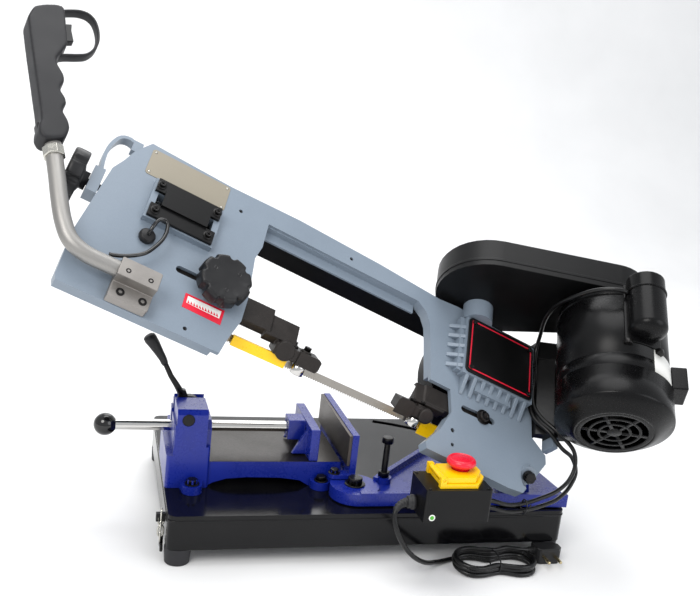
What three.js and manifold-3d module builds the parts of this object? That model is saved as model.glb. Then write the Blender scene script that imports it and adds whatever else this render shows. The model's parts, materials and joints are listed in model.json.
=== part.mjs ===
// Bench-top horizontal metal-cutting band saw, in millimetres, +Z up.
// The group's origin is the middle of the front left foot's underside.
import * as THREE from 'three';
import { mergeVertices } from 'three/addons/utils/BufferGeometryUtils.js';
import Module from 'manifold-3d';

const wasm = await Module();
wasm.setup();

// ---------------------------------------------------------------- driving dimensions
const BASE = { x: 600, y: 387, deep: 50.6, wall: 3, corner: 12, lip: 30 };
const FOOT = { inset: 18, floor: -75, top: -50.9, r: 19, rLow: 17.5 };
const SWIVEL = { x: 276, y: 57, nose: 37 };
const PIVOT = { x: 530.5, z: 54.6 };
const BOW_ORIGIN = [247.211, 57, 165.961];
const BOW_TILT = 22.3 * Math.PI / 180;
const VISE = { rodY: 156, rodZ: 72, rodR: 8.25, pinX: 28, pinZ: 104, pinR: 6, bedTop: 39 };
const WHEEL = { r: 95, half: 10, driveU: 222, idlerU: -318, s: 95 };
const BLADE = { wide: 12.7, thick: 0.9 };
const WORM = { u: 180, n: 47, r: 9.3 };
const MOTOR = { u: 341, n: 181, r: 82 };
const BOX = [333, 430, -86, -20.5, 28, 75.4];
const STOP = [395, -44];
const KNOB_R = 38;
const TUBE_R = 11;

// ---------------------------------------------------------------- frames
// Base frame: origin at the near left corner of the base's top, X right, Y away, Z up.
// Bow frame: u along the bow towards the gearbox, S up across its face, N out of its face.
const bu = new THREE.Vector3(Math.cos(BOW_TILT), 0, -Math.sin(BOW_TILT));
const up = new THREE.Vector3(Math.sin(BOW_TILT), 0, Math.cos(BOW_TILT));
const ay = new THREE.Vector3(0, 1, 0);
const bs = up.clone().add(ay).multiplyScalar(Math.SQRT1_2);
const bn = up.clone().sub(ay).multiplyScalar(Math.SQRT1_2);
const BOW = new THREE.Matrix4().makeBasis(bu, bs, bn).setPosition(new THREE.Vector3(...BOW_ORIGIN));
const TO_BOW = BOW.clone().invert();
// Cut frame: u along the blade, y across the machine, h square to both (0 at the blade line).
const CUT = new THREE.Matrix4().makeBasis(bu, ay, up).setPosition(new THREE.Vector3(...BOW_ORIGIN));
const CUT_TO_BOW = TO_BOW.clone().multiply(CUT);

// ---------------------------------------------------------------- solids
function solid(geometry) {
  let g = geometry.clone();
  for (const key of Object.keys(g.attributes)) if (key !== 'position') g.deleteAttribute(key);
  g = mergeVertices(g, 1e-4);
  const p = g.attributes.position.array;
  const tri = [];
  const idx = g.index.array;
  let volume = 0;
  for (let i = 0; i < idx.length; i += 3) {
    const [a, b, c] = [idx[i], idx[i + 1], idx[i + 2]];
    if (a === b || b === c || a === c) continue;
    tri.push(a, b, c);
    const [ax, ayy, az, bx, by, bz, cx, cy, cz] = [p[3 * a], p[3 * a + 1], p[3 * a + 2], p[3 * b], p[3 * b + 1], p[3 * b + 2], p[3 * c], p[3 * c + 1], p[3 * c + 2]];
    volume += ax * (by * cz - bz * cy) - ayy * (bx * cz - bz * cx) + az * (bx * cy - by * cx);
  }
  if (volume < 0) for (let i = 0; i < tri.length; i += 3) [tri[i], tri[i + 1]] = [tri[i + 1], tri[i]];
  return new wasm.Manifold(new wasm.Mesh({ numProp: 3, vertProperties: new Float32Array(p), triVerts: new Uint32Array(tri) }));
}
const asSolid = (x) => (x.isBufferGeometry ? solid(x) : x);
const join = (...parts) => parts.map(asSolid).reduce((a, b) => a.add(b));
const cut = (a, ...parts) => parts.map(asSolid).reduce((x, b) => x.subtract(b), asSolid(a));
const both = (a, b) => asSolid(a).intersect(asSolid(b));
const inFrame = (g, m) => g.clone().applyMatrix4(m);

const box = (x0, x1, y0, y1, z0, z1) => new THREE.BoxGeometry(x1 - x0, y1 - y0, z1 - z0).translate((x0 + x1) / 2, (y0 + y1) / 2, (z0 + z1) / 2);
const sides = (r) => (r < 6 ? 12 : r < 20 ? 18 : r < 60 ? 26 : 40);

// Extruded outline: points in the plane, drawn out along the third axis.
function slab(points, lo, hi, holes = []) {
  const shape = new THREE.Shape(points.map(([x, y]) => new THREE.Vector2(x, y)));
  for (const h of holes) shape.holes.push(new THREE.Path(h.map(([x, y]) => new THREE.Vector2(x, y))));
  return new THREE.ExtrudeGeometry(shape, { depth: hi - lo, bevelEnabled: false, steps: 1 }).translate(0, 0, lo);
}
const AXIS = {
  z: new THREE.Matrix4(),
  x: new THREE.Matrix4().makeBasis(new THREE.Vector3(0, 1, 0), new THREE.Vector3(0, 0, 1), new THREE.Vector3(1, 0, 0)),
  y: new THREE.Matrix4().makeBasis(new THREE.Vector3(0, 0, 1), new THREE.Vector3(1, 0, 0), new THREE.Vector3(0, 1, 0)),
};
// Cylinder or cone: c is the axis's place in the other two axes, in order x, y, z.
function rod(axis, c, r, lo, hi, seg = sides(r), r2 = r) {
  const pts = [[0, lo], [r, lo], [r2, hi], [0, hi]];
  return lathe(axis, c, pts, seg);
}
function lathe(axis, c, profile, seg) {
  const g = new THREE.LatheGeometry(profile.map(([r, h]) => new THREE.Vector2(r, h)), seg);
  g.rotateX(Math.PI / 2);
  if (axis === 'x') return g.applyMatrix4(AXIS.x).translate(0, c[0], c[1]);
  if (axis === 'y') return g.applyMatrix4(AXIS.y).translate(c[0], 0, c[1]);
  return g.translate(c[0], c[1], 0);
}
// Closed ring about an axis, from a profile that closes on itself.
const ring = (axis, c, rIn, rOut, lo, hi, seg) => lathe(axis, c, [[rIn, lo], [rOut, lo], [rOut, hi], [rIn, hi], [rIn, lo]], seg);
// An outline drawn in (x, z) and given a depth along y.
const slabY = (points, lo, hi) => slab(points.map(([x, z]) => [x, -z]), lo, hi).rotateX(-Math.PI / 2).applyMatrix4(new THREE.Matrix4());
// An outline drawn in (y, z) and given a depth along x.
const slabX = (points, lo, hi) => slab(points, lo, hi).applyMatrix4(AXIS.x);

const circle = (cx, cy, r, a0 = 0, a1 = 2 * Math.PI, n = 40) => {
  const full = Math.abs(a1 - a0 - 2 * Math.PI) < 1e-9;
  const out = [];
  for (let i = 0; i < n + (full ? 0 : 1); i++) { const a = a0 + (a1 - a0) * i / n; out.push([cx + r * Math.cos(a), cy + r * Math.sin(a)]); }
  return out;
};
const roundRect = (x0, y0, x1, y1, r, n = 5) => [
  ...circle(x1 - r, y0 + r, r, -Math.PI / 2, 0, n), ...circle(x1 - r, y1 - r, r, 0, Math.PI / 2, n),
  ...circle(x0 + r, y1 - r, r, Math.PI / 2, Math.PI, n), ...circle(x0 + r, y0 + r, r, Math.PI, 1.5 * Math.PI, n)];
// Outline around two circles, a belt's shape.
function obround(c1, r1, c2, r2, n = 24) {
  const dx = c2[0] - c1[0], dy = c2[1] - c1[1], d = Math.hypot(dx, dy), dir = Math.atan2(dy, dx);
  const t = Math.acos((r1 - r2) / d);
  return [...circle(c1[0], c1[1], r1, dir + t, dir + 2 * Math.PI - t, n), ...circle(c2[0], c2[1], r2, dir - t, dir + t, n)];
}
// Offset of a closed counter-clockwise outline; d > 0 goes inwards.
function inset(points, d) {
  const n = points.length, out = [];
  for (let i = 0; i < n; i++) {
    const p = points[(i + n - 1) % n], q = points[i], r = points[(i + 1) % n];
    const e1 = [q[0] - p[0], q[1] - p[1]], e2 = [r[0] - q[0], r[1] - q[1]];
    const l1 = Math.hypot(...e1), l2 = Math.hypot(...e2);
    const n1 = [-e1[1] / l1, e1[0] / l1], n2 = [-e2[1] / l2, e2[0] / l2];
    const k = 1 + n1[0] * n2[0] + n1[1] * n2[1];
    out.push([q[0] + d * (n1[0] + n2[0]) / k, q[1] + d * (n1[1] + n2[1]) / k]);
  }
  return out;
}
const ccw = (pts) => (pts.reduce((s, p, i) => { const q = pts[(i + 1) % pts.length]; return s + p[0] * q[1] - q[0] * p[1]; }, 0) > 0 ? pts : [...pts].reverse());

// Round bar or cord along a smooth curve.
function along(points, r, steps, seg = 8, smooth = true) {
  const v = points.map((p) => new THREE.Vector3(...p));
  let path;
  if (smooth) path = new THREE.CatmullRomCurve3(v, false, 'centripetal');
  else { path = new THREE.CurvePath(); for (let i = 1; i < v.length; i++) path.add(new THREE.LineCurve3(v[i - 1], v[i])); }
  const section = new THREE.Shape(circle(0, 0, r, 0, 2 * Math.PI, seg).map(([x, y]) => new THREE.Vector2(x, y)));
  return new THREE.ExtrudeGeometry(section, { steps, extrudePath: path, bevelEnabled: false });
}
// Closed band through rings of equal count.
function band(rings) {
  const m = rings[0].length, n = rings.length, pos = [], tri = [];
  for (const r of rings) for (const v of r) pos.push(v.x, v.y, v.z);
  for (let i = 0; i < n; i++) for (let j = 0; j < m; j++) {
    const a = i * m + j, b = i * m + (j + 1) % m, c = ((i + 1) % n) * m + j, d = ((i + 1) % n) * m + (j + 1) % m;
    tri.push(a, b, d, a, d, c);
  }
  const g = new THREE.BufferGeometry();
  g.setAttribute('position', new THREE.Float32BufferAttribute(pos, 3));
  g.setIndex(tri);
  return g;
}

// ---------------------------------------------------------------- assembly groups
const saw = new THREE.Group();
const base = new THREE.Group();
base.position.set(-FOOT.inset, -FOOT.inset, -FOOT.floor);
saw.add(base);
const bow = new THREE.Group();
bow.matrix.copy(BOW);
bow.matrix.decompose(bow.position, bow.quaternion, bow.scale);
base.add(bow);

const LOOK = {
  casting: { color: 0xa0afc3, roughness: 0.45, metalness: 0.1 },
  blue: { color: 0x1e32aa, roughness: 0.4, metalness: 0.1 },
  black: { color: 0x121214, roughness: 0.35, metalness: 0.1 },
  plastic: { color: 0x1a1a1c, roughness: 0.55, metalness: 0.0 },
  rubber: { color: 0x161616, roughness: 0.8, metalness: 0.0 },
  steel: { color: 0xb4b4b6, roughness: 0.3, metalness: 1.0 },
  dark: { color: 0x2c2826, roughness: 0.45, metalness: 0.6 },
  yellow: { color: 0xffcd00, roughness: 0.4, metalness: 0.0 },
  red: { color: 0xdc1e3c, roughness: 0.35, metalness: 0.0 },
  brass: { color: 0xb08c46, roughness: 0.35, metalness: 1.0 },
};
function add(group, name, part, look) {
  const m = asSolid(part).getMesh();
  const g = new THREE.BufferGeometry();
  g.setAttribute('position', new THREE.Float32BufferAttribute(m.vertProperties, 3));
  g.setIndex(Array.from(m.triVerts));
  g.computeVertexNormals();
  const mesh = new THREE.Mesh(g, new THREE.MeshStandardMaterial(LOOK[look]));
  mesh.name = name;
  group.add(mesh);
}

// ================================================================ base
{
  const B = BASE, w = B.wall;
  const arc = [...circle(SWIVEL.x, SWIVEL.y, 346, 0.66, 1.2, 14), ...circle(SWIVEL.x, SWIVEL.y, 332, 0.66, 1.2, 14).reverse()];
  add(base, 'base_pan', cut(
    slab(roundRect(0, 0, B.x, B.y, B.corner), -B.deep, 0),
    slab(roundRect(w, w, B.x - w, B.y - w, B.corner - w), -B.deep + w, -w),
    slab(roundRect(w + B.lip, w + B.lip, B.x - w - B.lip, B.y - w - B.lip, B.corner), -B.deep - 1, -B.deep + w + 1),
    slab(arc, -w - 1, 1),
    rod('z', [SWIVEL.x, SWIVEL.y], 8.4, -w - 1, 1)), 'black');
  const i = FOOT.inset;
  for (const [n, x, y] of [['foot_front_left', i, i], ['foot_front_right', B.x - i, i], ['foot_back_left', i, B.y - i], ['foot_back_right', B.x - i, B.y - i]])
    add(base, n, rod('z', [x, y], FOOT.rLow, FOOT.floor, FOOT.top, 28, FOOT.r), 'rubber');
  // transport strap and its hook on the left skirt
  add(base, 'hold_down_chain', join(
    slabX([[22, -4], [38, -4], [38, -44], [44, -60], [30, -66], [16, -60], [22, -44]], -6.6, -1.6),
    box(-14, -0.3, 22, 38, -22, -6)), 'black');
}

// ================================================================ vise on the base
{
  const V = VISE;
  const block = slabX([[90, 60], [90, 112], [97, 118.5], [165, 118.5], [185, 105], [190, 60]], 10, 56);
  const arch = [[60, 39], [262, 39], [262, 0.3], [215, 0.3], [200, 9], [170, 13], [120, 14], [90, 12], [70, 6], [60, 0.3]];
  add(base, 'vise_body', cut(
    join(
      slab(roundRect(0, 90, 63, 222, 6, 3), 0.3, 63), block,
      slabX([[98, 60], [98, 88], [106, 100], [172, 100], [180, 88], [180, 60]], 3, 63),
      box(60, 262, 96, 222, 30, V.bedTop), slabY(arch, 96, 104), slabY(arch, 214, 222),
      slab(ccw([...circle(38, 78, 15, Math.PI, 2 * Math.PI, 10), [55, 92], [21, 92]]), 0.3, 12), rod('z', [232, 91], 16, 0.3, 12, 28),
      rod('z', [38, 78], 8, 11, 20, 6), rod('z', [232, 88], 7, 11, 18, 6)),
    rod('x', [V.rodY, V.rodZ], 8.7, -5, 70),
    box(-5, 70, 148, 164, 84, 130), box(6, 50, 148, 164, 76, 90),
    box(-5, 9.3, 80, 230, 50, 120), box(-5, 12, 80, 230, 96, 120), rod('y', [V.pinX, V.pinZ], 9.1, 80, 95.6, 24),
    rod('y', [V.pinX, V.pinZ], V.pinR + 0.35, 80, 200)), 'blue');
  add(base, 'cam_pin', join(
    rod('y', [V.pinX, V.pinZ], V.pinR, 90, 190, 20),
    rod('y', [V.pinX, V.pinZ], 8.75, 89.6, 95.2, 24)), 'steel');
  // back jaw: a ribbed angle casting with a steel jaw plate; it stays above the arm's nose
  const rib = [[283, 0.3], [283, 62], [277, 80], [272, 80], [272, 0.3]];
  add(base, 'fixed_jaw', join(
    box(271, 281, 76, 268, 21.5, 89), box(271, 281, 98.5, 268, 0.3, 40), box(263, 283, 98.5, 268, 0.3, 22),
    slabY(rib, 150, 158), slabY(rib, 240, 248),
    box(249, 280, 71, 89, 21.5, 28), rod('z', [249, 80], 9, 21.5, 28, 24), rod('z', [249, 80], 6.5, 27, 33, 6)), 'blue');
  add(base, 'fixed_jaw_plate', box(266, 270.7, 76, 268, 40, 88), 'dark');
  // sliding jaw on its round bar
  add(base, 'moving_jaw', cut(join(
    box(212, 226, 96, 216, 39.6, 89), box(186, 213, 140, 172, 56, 87.5),
    slabY([[190, 41], [213, 41], [213, 84]], 120, 127), slabY([[190, 41], [213, 41], [213, 84]], 185, 192)),
    rod('x', [V.rodY, V.rodZ], 8.6, 180, 206.3)), 'blue');
  add(base, 'vise_rod', rod('x', [V.rodY, V.rodZ], V.rodR, -80.5, 206, 24), 'steel');
  add(base, 'ball_knob', cut(
    new THREE.SphereGeometry(16.5, 18, 10).translate(-86, V.rodY, V.rodZ),
    rod('x', [V.rodY, V.rodZ], 8.75, -80.8, -60, 18)), 'plastic');
  // quick-clamp lever: eccentric hub on the cross pin, and a long handle with a swollen end
  const offset = [0.988 * 6, -0.156 * 6];
  const lever = [[18, 104], [36, 118], [24, 132], [2, 152], [-6, 172], [-14, 190], [-25, 210], [-33, 211], [-40, 203], [-38, 196], [-26, 180], [-20, 166], [-12, 148], [2, 124]];
  add(base, 'cam_lever', cut(join(
    rod('y', [V.pinX + offset[0], V.pinZ + offset[1]], 17, 149.5, 162.5, 30), slabY(lever, 150.5, 161.5)),
    rod('y', [V.pinX, V.pinZ], V.pinR + 0.4, 140, 170, 20)), 'plastic');
}

// ================================================================ swivel arm
{
  const S = SWIVEL, P = PIVOT;
  const outline = [...circle(S.x, S.y, S.nose, Math.atan2(14, 33), 1.5 * Math.PI, 26), [470, 20], [560, 10], [605, 8], [610, 49], [607, 110], [560, 170], [500, 200], [452, 206], [440, 202]];
  const ear = [...circle(P.x, P.z, 15, 0, Math.PI, 16), [P.x - 22, 14], [P.x + 22, 14]];
  const edge = [[309, 72.5], [314.7, 66.8], [440, 192], [452, 196], [452, 206], [440, 202]];
  add(base, 'swivel_arm', cut(join(
    slab(outline, 2, 15), rod('z', [S.x, S.y], S.nose, 2, 20, 44),
    slab([[276, 20], [470, 20], [560, 10], [605, 8], [605, 16], [560, 18], [470, 28], [276, 28]], 14, 22),
    slab(edge, 14, 25),
    rod('z', [326, 75], 12, 3, 24, 24),
    slabY(ear, 35, 45), slabY(ear, 60, 70),
    box(362, 402, -66, -17.5, 21, 27.7), box(362, 402, -24, -17.5, 9, 27.7), box(362, 402, -24, 26, 9, 15)),
    rod('z', [S.x, S.y], 8.4, 0, 30), rod('z', [326, 75], 5.35, 10, 30),
    rod('y', [P.x, P.z], 5.7, 20, 80)), 'blue');
  add(base, 'swivel_bolt', join(
    rod('z', [S.x, S.y], 8, -14, 21), rod('z', [S.x, S.y], 11, 20.3, 31, 6), rod('z', [S.x, S.y], 13, -13, -3.4, 6)), 'steel');
  add(base, 'stop_screw', join(
    rod('z', [326, 75], 5, 10.4, 84, 16), rod('z', [326, 75], 9, 25.3, 33, 6), rod('z', [326, 75], 9, 79, 88, 6)), 'steel');
  add(base, 'pivot_pin', join(rod('y', [P.x, P.z], 5.3, 5, 71.5, 18), rod('y', [P.x, P.z], 8.5, 2.5, 7.7, 6)), 'steel');
}

// ================================================================ switch box
{
  const [x0, x1, y0, y1, z0, z1] = BOX;
  const [mx, my] = STOP;
  add(base, 'switch_box', cut(join(
    slab(roundRect(x0, y0, x1, y1, 4, 3), z0, z1),
    rod('x', [-47, 41], 9, x0 - 7, x0 + 2, 18)),
    box(x0 + 3, x1 - 3, y0 + 3, y1 - 3, z0 + 3, z1 - 3),
    rod('z', [mx, my], 13.5, z1 - 10, z1 + 6, 22),
    rod('x', [-47, 41], 4, x0 - 12, x0 + 10, 12), rod('x', [-52, 44], 4.2, x1 - 6, x1 + 6, 12), rod('x', [-52, 34], 4.2, x1 - 6, x1 + 6, 12)), 'plastic');
  // yellow guard frame on the lid, with two hinge lugs on its left side
  const f = z1 + 0.3, hx = 358, hz = f + 11.5;
  add(base, 'switch_frame', cut(join(
    slab([[357, -80], [409, -80], [428, -53], [428, -20.6], [357, -20.6]], f, f + 5.5), box(353.5, 362, -80, -72.3, f, f + 15), box(353.5, 362, -28.4, -20.6, f, f + 15)),
    rod('z', [mx, my], 13.5, z1 - 10, z1 + 20, 22), rod('y', [hx, hz], 2.3, -90, -10, 12)), 'yellow');
  // hinged stop flap over the switch buttons
  add(base, 'stop_flap', cut(join(
    slab([[364, -76], [406, -76], [422, -53], [422, -27], [364, -27]], f + 6, f + 14), box(358, 366, -71.8, -29, f + 9, f + 13),
    rod('y', [hx, hz], 3.8, -71.8, -29, 14), rod('y', [hx, hz], 1.9, -79, -22, 10)),
    slab([[367, -73], [404, -73], [419, -52], [419, -30], [367, -30]], f + 5, f + 11), rod('z', [mx, my], 13.4, z1, z1 + 30, 22)), 'yellow');
  add(base, 'stop_mushroom', join(
    rod('z', [mx, my], 13, z1 + 10.5, z1 + 21, 22), lathe('z', [mx, my], [[0, z1 + 20], [19, z1 + 20], [21, z1 + 25], [20, z1 + 29], [13, z1 + 33], [0, z1 + 34]], 28)), 'red');
}

// ================================================================ bow casting
const BOW_OUT = ccw([
  [-388, 220], [-406, 193], [-415, 168], [-425, 147], [-438, 34], [-438, -5], [-437, -45], [-434, -53],
  [-210, -55], [-205, -32], [-193, 5], [-192, 44], [-198, 114], [-192, 138], [-192, 183],
  [75, 181], [92, 168], [101, 150], [104, 130], [113.5, 53], [150, 52], [156, 15], [140, -20], [117, -50], [120, -60],
  [268, -66], [295, -64], [337, 0], [336, 14], [308, 35], [304, 101], [298, 199],
  [149, 208], [114, 205], [-2, 213], [-147, 218], [-261, 215]]);
{
  const rim = cut(slab(BOW_OUT, 21.5, 35), slab(inset(BOW_OUT, 6), 20, 36));
  const strap = [[-404, 214], [-418, 219], [-431, 213], [-439, 192], [-440, 168], [-436, 140]];
  const way = new THREE.SplineCurve(strap.map(([x, y]) => new THREE.Vector2(x, y)));
  const side = (d) => Array.from({ length: 17 }, (_, i) => { const q = way.getPoint(i / 16), g = way.getTangent(i / 16); return [q.x - g.y * d, q.y + g.x * d]; });
  const strapBand = slab(ccw([...side(2.6), ...side(-2.6).reverse()]), 14, 29);
  add(bow, 'bow_casting', cut(
    join(
      slab(BOW_OUT, 34, 40),
      cut(rim, box(-220, -180, -70, 140, 10, 33), box(104, 170, 8, 60, 10, 33)),
      box(-192, 76, 166, 183, 21.5, 25), box(-192, 76, 181, 187, 21.5, 35),
      // boss for the blade-tension slide
      box(-366, -264, 88, 158, 39, 50),
      // tension screw boss and the loop beside it
      box(-446, -431, 98, 142, 12, 36), strapBand, box(-412, -398, 195, 214, 24, 36),
      // gearbox housing with its ribs and the worm's bearing boss
      box(158, 292, 80, 186, 39, 57), box(188, 256, 62, 81, 39, 50), box(150, 159, 84, 182, 39, 52),
      rod('y', [WORM.u, 52], 24, 184, 214.7, 40),
      rod('z', [222, 95], 20, 21.5, 35, 36), rod('z', [232, 133], 12, 25, 35, 24),
      // hinge barrel and its web
      inFrame(rod('y', [304.4, 4.48], 14, 45.5, 59.5, 28).translate(0, -57, 0), CUT_TO_BOW),
      inFrame(rod('y', [304.4, 4.48], 14.5, 8, 34.5, 28).translate(0, -57, 0), CUT_TO_BOW),
      both(inFrame(box(299, 309.5, 45.5 - 57, 59.5 - 57, 6, 60), CUT_TO_BOW), box(250, 340, -40, 60, -10, 35))),
    // tension slide, guide slots, gearbox cavity, bores
    box(-357, -273, 112, 134.6, 20, 60),
    slab([...circle(-294, 40, 5.5, Math.PI / 2, 1.5 * Math.PI, 8), ...circle(-206, 40, 5.5, -Math.PI / 2, Math.PI / 2, 8)], 30, 45),
    slab([...circle(178, 30, 5.5, Math.PI / 2, 1.5 * Math.PI, 8), ...circle(230, 30, 5.5, -Math.PI / 2, Math.PI / 2, 8)], 30, 45),
    box(164, 287, 85, 181, 41, 60), box(166, 195, 100, 168, 36.5, 42),
    rod('z', [222, 95], 28, 35, 44, 44), rod('z', [232, 133], 14, 35, 42, 28),
    rod('z', [222, 95], 12.4, 15, 40, 32), rod('z', [232, 133], 6.4, 20, 40, 20),
    rod('y', [WORM.u, WORM.n], 8.4, 160, 220, 22),
    rod('x', [118, 24], 5.5, -450, -412, 18),
    inFrame(rod('y', [304.4, 4.48], 5.7, -60, 30, 18), CUT_TO_BOW), inFrame(rod('y', [304.4, 4.48], 15.2, -90, -49, 28), CUT_TO_BOW),
    rod('z', [161, -14], 3.5, 30, 45, 14), rod('z', [163, -37], 3, 30, 45, 14), rod('z', [-263, -42], 3, 30, 45, 14), rod('z', [-237.5, 181], 3, 30, 45, 14), rod('z', [-51, 196], 3, 30, 45, 14),
    rod('z', [-350, 64], 5.2, 30, 45, 18), rod('z', [284, 192.5], 4.8, 30, 45, 14)), 'casting');
}

// ================================================================ bow: rear cover, wheels, blade
{
  const W = WHEEL;
  const shell = (rl, rr, top, low) => join(
    ...[[W.idlerU, rl], [W.driveU, rr]].map(([u, r]) => lathe('z', [u, W.s], [[0, top[0]], [r - 14.5, top[0]], [r, top[0] + 9], [r, top[1]], [0, top[1]]], 44)),
    box(W.idlerU, W.driveU, low[0], low[1], top[0], top[1]));
  add(bow, 'rear_cover', cut(
    shell(103, 100.5, [-22, 21.2], [171, 199]),
    shell(100, 97.5, [-19, 25], [174, 196]),
    box(-217, -190, -20, 172, -30, 30),
    box(-296, -200, -16, 8, -30, 30), box(110, 208, -16, 8, -30, 30),
    box(-310, -200, 12, 58, 11, 30), box(118, 232, 11, 56, 11, 30), box(-425, -330, 110, 126, 16, 30)), 'black');
  const wheel = (u, seg) => {
    const spokes = [];
    for (let k = 0; k < 5; k++) { const a = k * 2 * Math.PI / 5 + 0.3; spokes.push(rod('z', [u + 52 * Math.cos(a), W.s + 52 * Math.sin(a)], 15, -20, 20, 12)); }
    return cut(lathe('z', [u, W.s], [[0, -11], [19, -11], [19, -4], [82, -4], [82, -10], [W.r, -10], [W.r, 10], [82, 10], [82, 3], [19, 3], [19, 11], [0, 11]], seg), ...spokes);
  };
  add(bow, 'idler_wheel', cut(wheel(W.idlerU, 44), rod('z', [W.idlerU, W.s], 8.1, -20, 20, 24)), 'steel');
  add(bow, 'drive_wheel', join(
    wheel(W.driveU, 44), rod('z', [W.driveU, W.s], 12, 8, 36, 30), rod('z', [W.driveU, W.s], 26, 35.7, 42.3, 26)), 'steel');
  // blade loop: flat on the wheels, turned 45 degrees between the guides
  const rings = [], R = W.r + 0.8, hw = BLADE.wide / 2, ht = BLADE.thick / 2;
  const put = (u, s, du, ds, tw) => {
    // outward normal (du, ds) in the wheel plane; tw turns the width about the run
    const c = Math.cos(tw), q = Math.sin(tw);
    const wd = new THREE.Vector3(-q * du, -q * ds, c), nd = new THREE.Vector3(c * du, c * ds, q), o = new THREE.Vector3(u, s, 0);
    rings.push([[-hw, -ht], [hw, -ht], [hw, ht], [-hw, ht]].map(([a, b]) => o.clone().addScaledVector(wd, a).addScaledVector(nd, b)));
  };
  for (let k = 0; k <= 20; k++) { const a = Math.PI / 2 - Math.PI * k / 20; put(W.driveU + R * Math.cos(a), W.s + R * Math.sin(a), Math.cos(a), Math.sin(a), 0); }
  const low = [[204, 0], [180, 0.08], [150, 0.4], [125, 0.75], [100, Math.PI / 4], [-190, Math.PI / 4], [-215, 0.75], [-240, 0.4], [-270, 0.08], [-294, 0]];
  for (const [u, tw] of low) put(u, W.s - R, 0, -1, tw);
  for (let k = 0; k <= 20; k++) { const a = -Math.PI / 2 - Math.PI * k / 20; put(W.idlerU + R * Math.cos(a), W.s + R * Math.sin(a), Math.cos(a), Math.sin(a), 0); }
  add(bow, 'blade', band(rings), 'steel');
}

// ================================================================ bow: blade tension
add(bow, 'idler_slide', join(
  box(-346, -290, 70, 140, 14, 33), box(-345, -285, 112.4, 134.2, 32, 55), rod('z', [WHEEL.idlerU, WHEEL.s], 7.7, -14, 15, 24)), 'dark');
add(bow, 'slide_rail_lower', join(box(-363, -267, 90, 112, 50.3, 55)), 'black');
add(bow, 'slide_rail_upper', join(box(-363, -267, 134.6, 156, 50.3, 55), box(-349, -281, 111, 136, 55.3, 58.5), box(-349, -281, 134.6, 138, 52, 58.5)), 'black');
function lobedKnob(r, lo, hi) {
  const pts = [];
  for (let k = 0; k < 40; k++) { const a = k * 2 * Math.PI / 40; pts.push([(r - 3.2 + 3.2 * Math.cos(8 * a)) * Math.cos(a), (r - 3.2 + 3.2 * Math.cos(8 * a)) * Math.sin(a)]); }
  return slab(pts, lo, hi);
}
add(bow, 'tension_knob', join(
  lobedKnob(KNOB_R, 0, 22).applyMatrix4(AXIS.x).translate(-478, 118, 24),
  rod('x', [118, 24], 13, -457, -447, 24), rod('x', [118, 24], 5, -458, -346.5, 16)), 'plastic');

// ================================================================ bow: gearbox
add(bow, 'gearbox_cover', slab(roundRect(161, 83, 289, 184, 8, 4), 57.3, 60.5), 'black');
add(bow, 'worm_gear', join(
  rod('z', [232, 133], 42, 43.4, 51, 48), rod('z', [232, 133], 12.5, 35.7, 44, 26), rod('z', [232, 133], 6, 26, 36, 18)), 'brass');
add(bow, 'worm_shaft', join(
  rod('y', [WORM.u, WORM.n], WORM.r, 105, 160, 26), rod('y', [WORM.u, WORM.n], 6, 87, 106, 18), rod('y', [WORM.u, WORM.n], 8, 159, 229, 22),
  lathe('y', [WORM.u, WORM.n], [[0, 228], [46, 228], [46, 230.5], [39, 234], [39, 243], [46, 246.5], [46, 249], [0, 249]], 32)), 'steel');

// ================================================================ bow: blade guides
{
  const c = (g) => inFrame(g.translate(0, -57, 0), CUT_TO_BOW);
  add(bow, 'guide_arm', join(
    box(-310, -146, 16, 53, 14.3, 32), box(-152, -104, 12, 46, 11.6, 30),
    c(box(-132, -63, 38, 72, 8.4, 26)), c(box(-93, -66, 57.4, 68, -6, 10)), c(rod('z', [-86, 45.4], 3, -8, 10, 14)),
    rod('z', [-236, 40], 4.8, 31, 60, 18)), 'dark');
  add(bow, 'left_roller', c(ring('z', [-86, 45.4], 3.4, 10.2, -6.5, 7.6, 26)), 'steel');
  add(bow, 'left_guard', cut(c(box(-189, -105, 46, 54, -7, 8)), c(box(-190, -104, 48, 60, -14, 5.5))), 'yellow');
  add(bow, 'guide_knob', cut(
    join(lobedKnob(KNOB_R, 48, 70).translate(-236, 40, 0), rod('z', [-236, 40], 14, 40.4, 49, 26)),
    rod('z', [-236, 40], 5.2, 38, 60.6, 20)), 'plastic');
  add(bow, 'right_guide', cut(join(
    box(112, 225, 17, 47, 14.3, 32), box(96, 150, 14, 45, 11.6, 30),
    c(box(72, 130, 38, 64, 8.4, 26)), c(box(98, 124, 57.4, 64, -6, 10)), c(rod('z', [110, 45.4], 3, -8, 10, 14)),
    rod('z', [213, 30], 4.8, 31, 46, 18), rod('z', [213, 30], 9, 40.4, 47, 6)),
    c(box(80, 112, 64.2, 100, -30, 46.5))), 'dark');
  add(bow, 'right_roller', c(ring('z', [110, 45.4], 3.4, 10.2, -6.5, 7.6, 26)), 'steel');
  add(bow, 'right_guard', cut(c(box(124, 158, 46, 54, -14, 8)), c(box(123, 159, 48, 60, -16, 5.5))), 'yellow');
}

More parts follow.
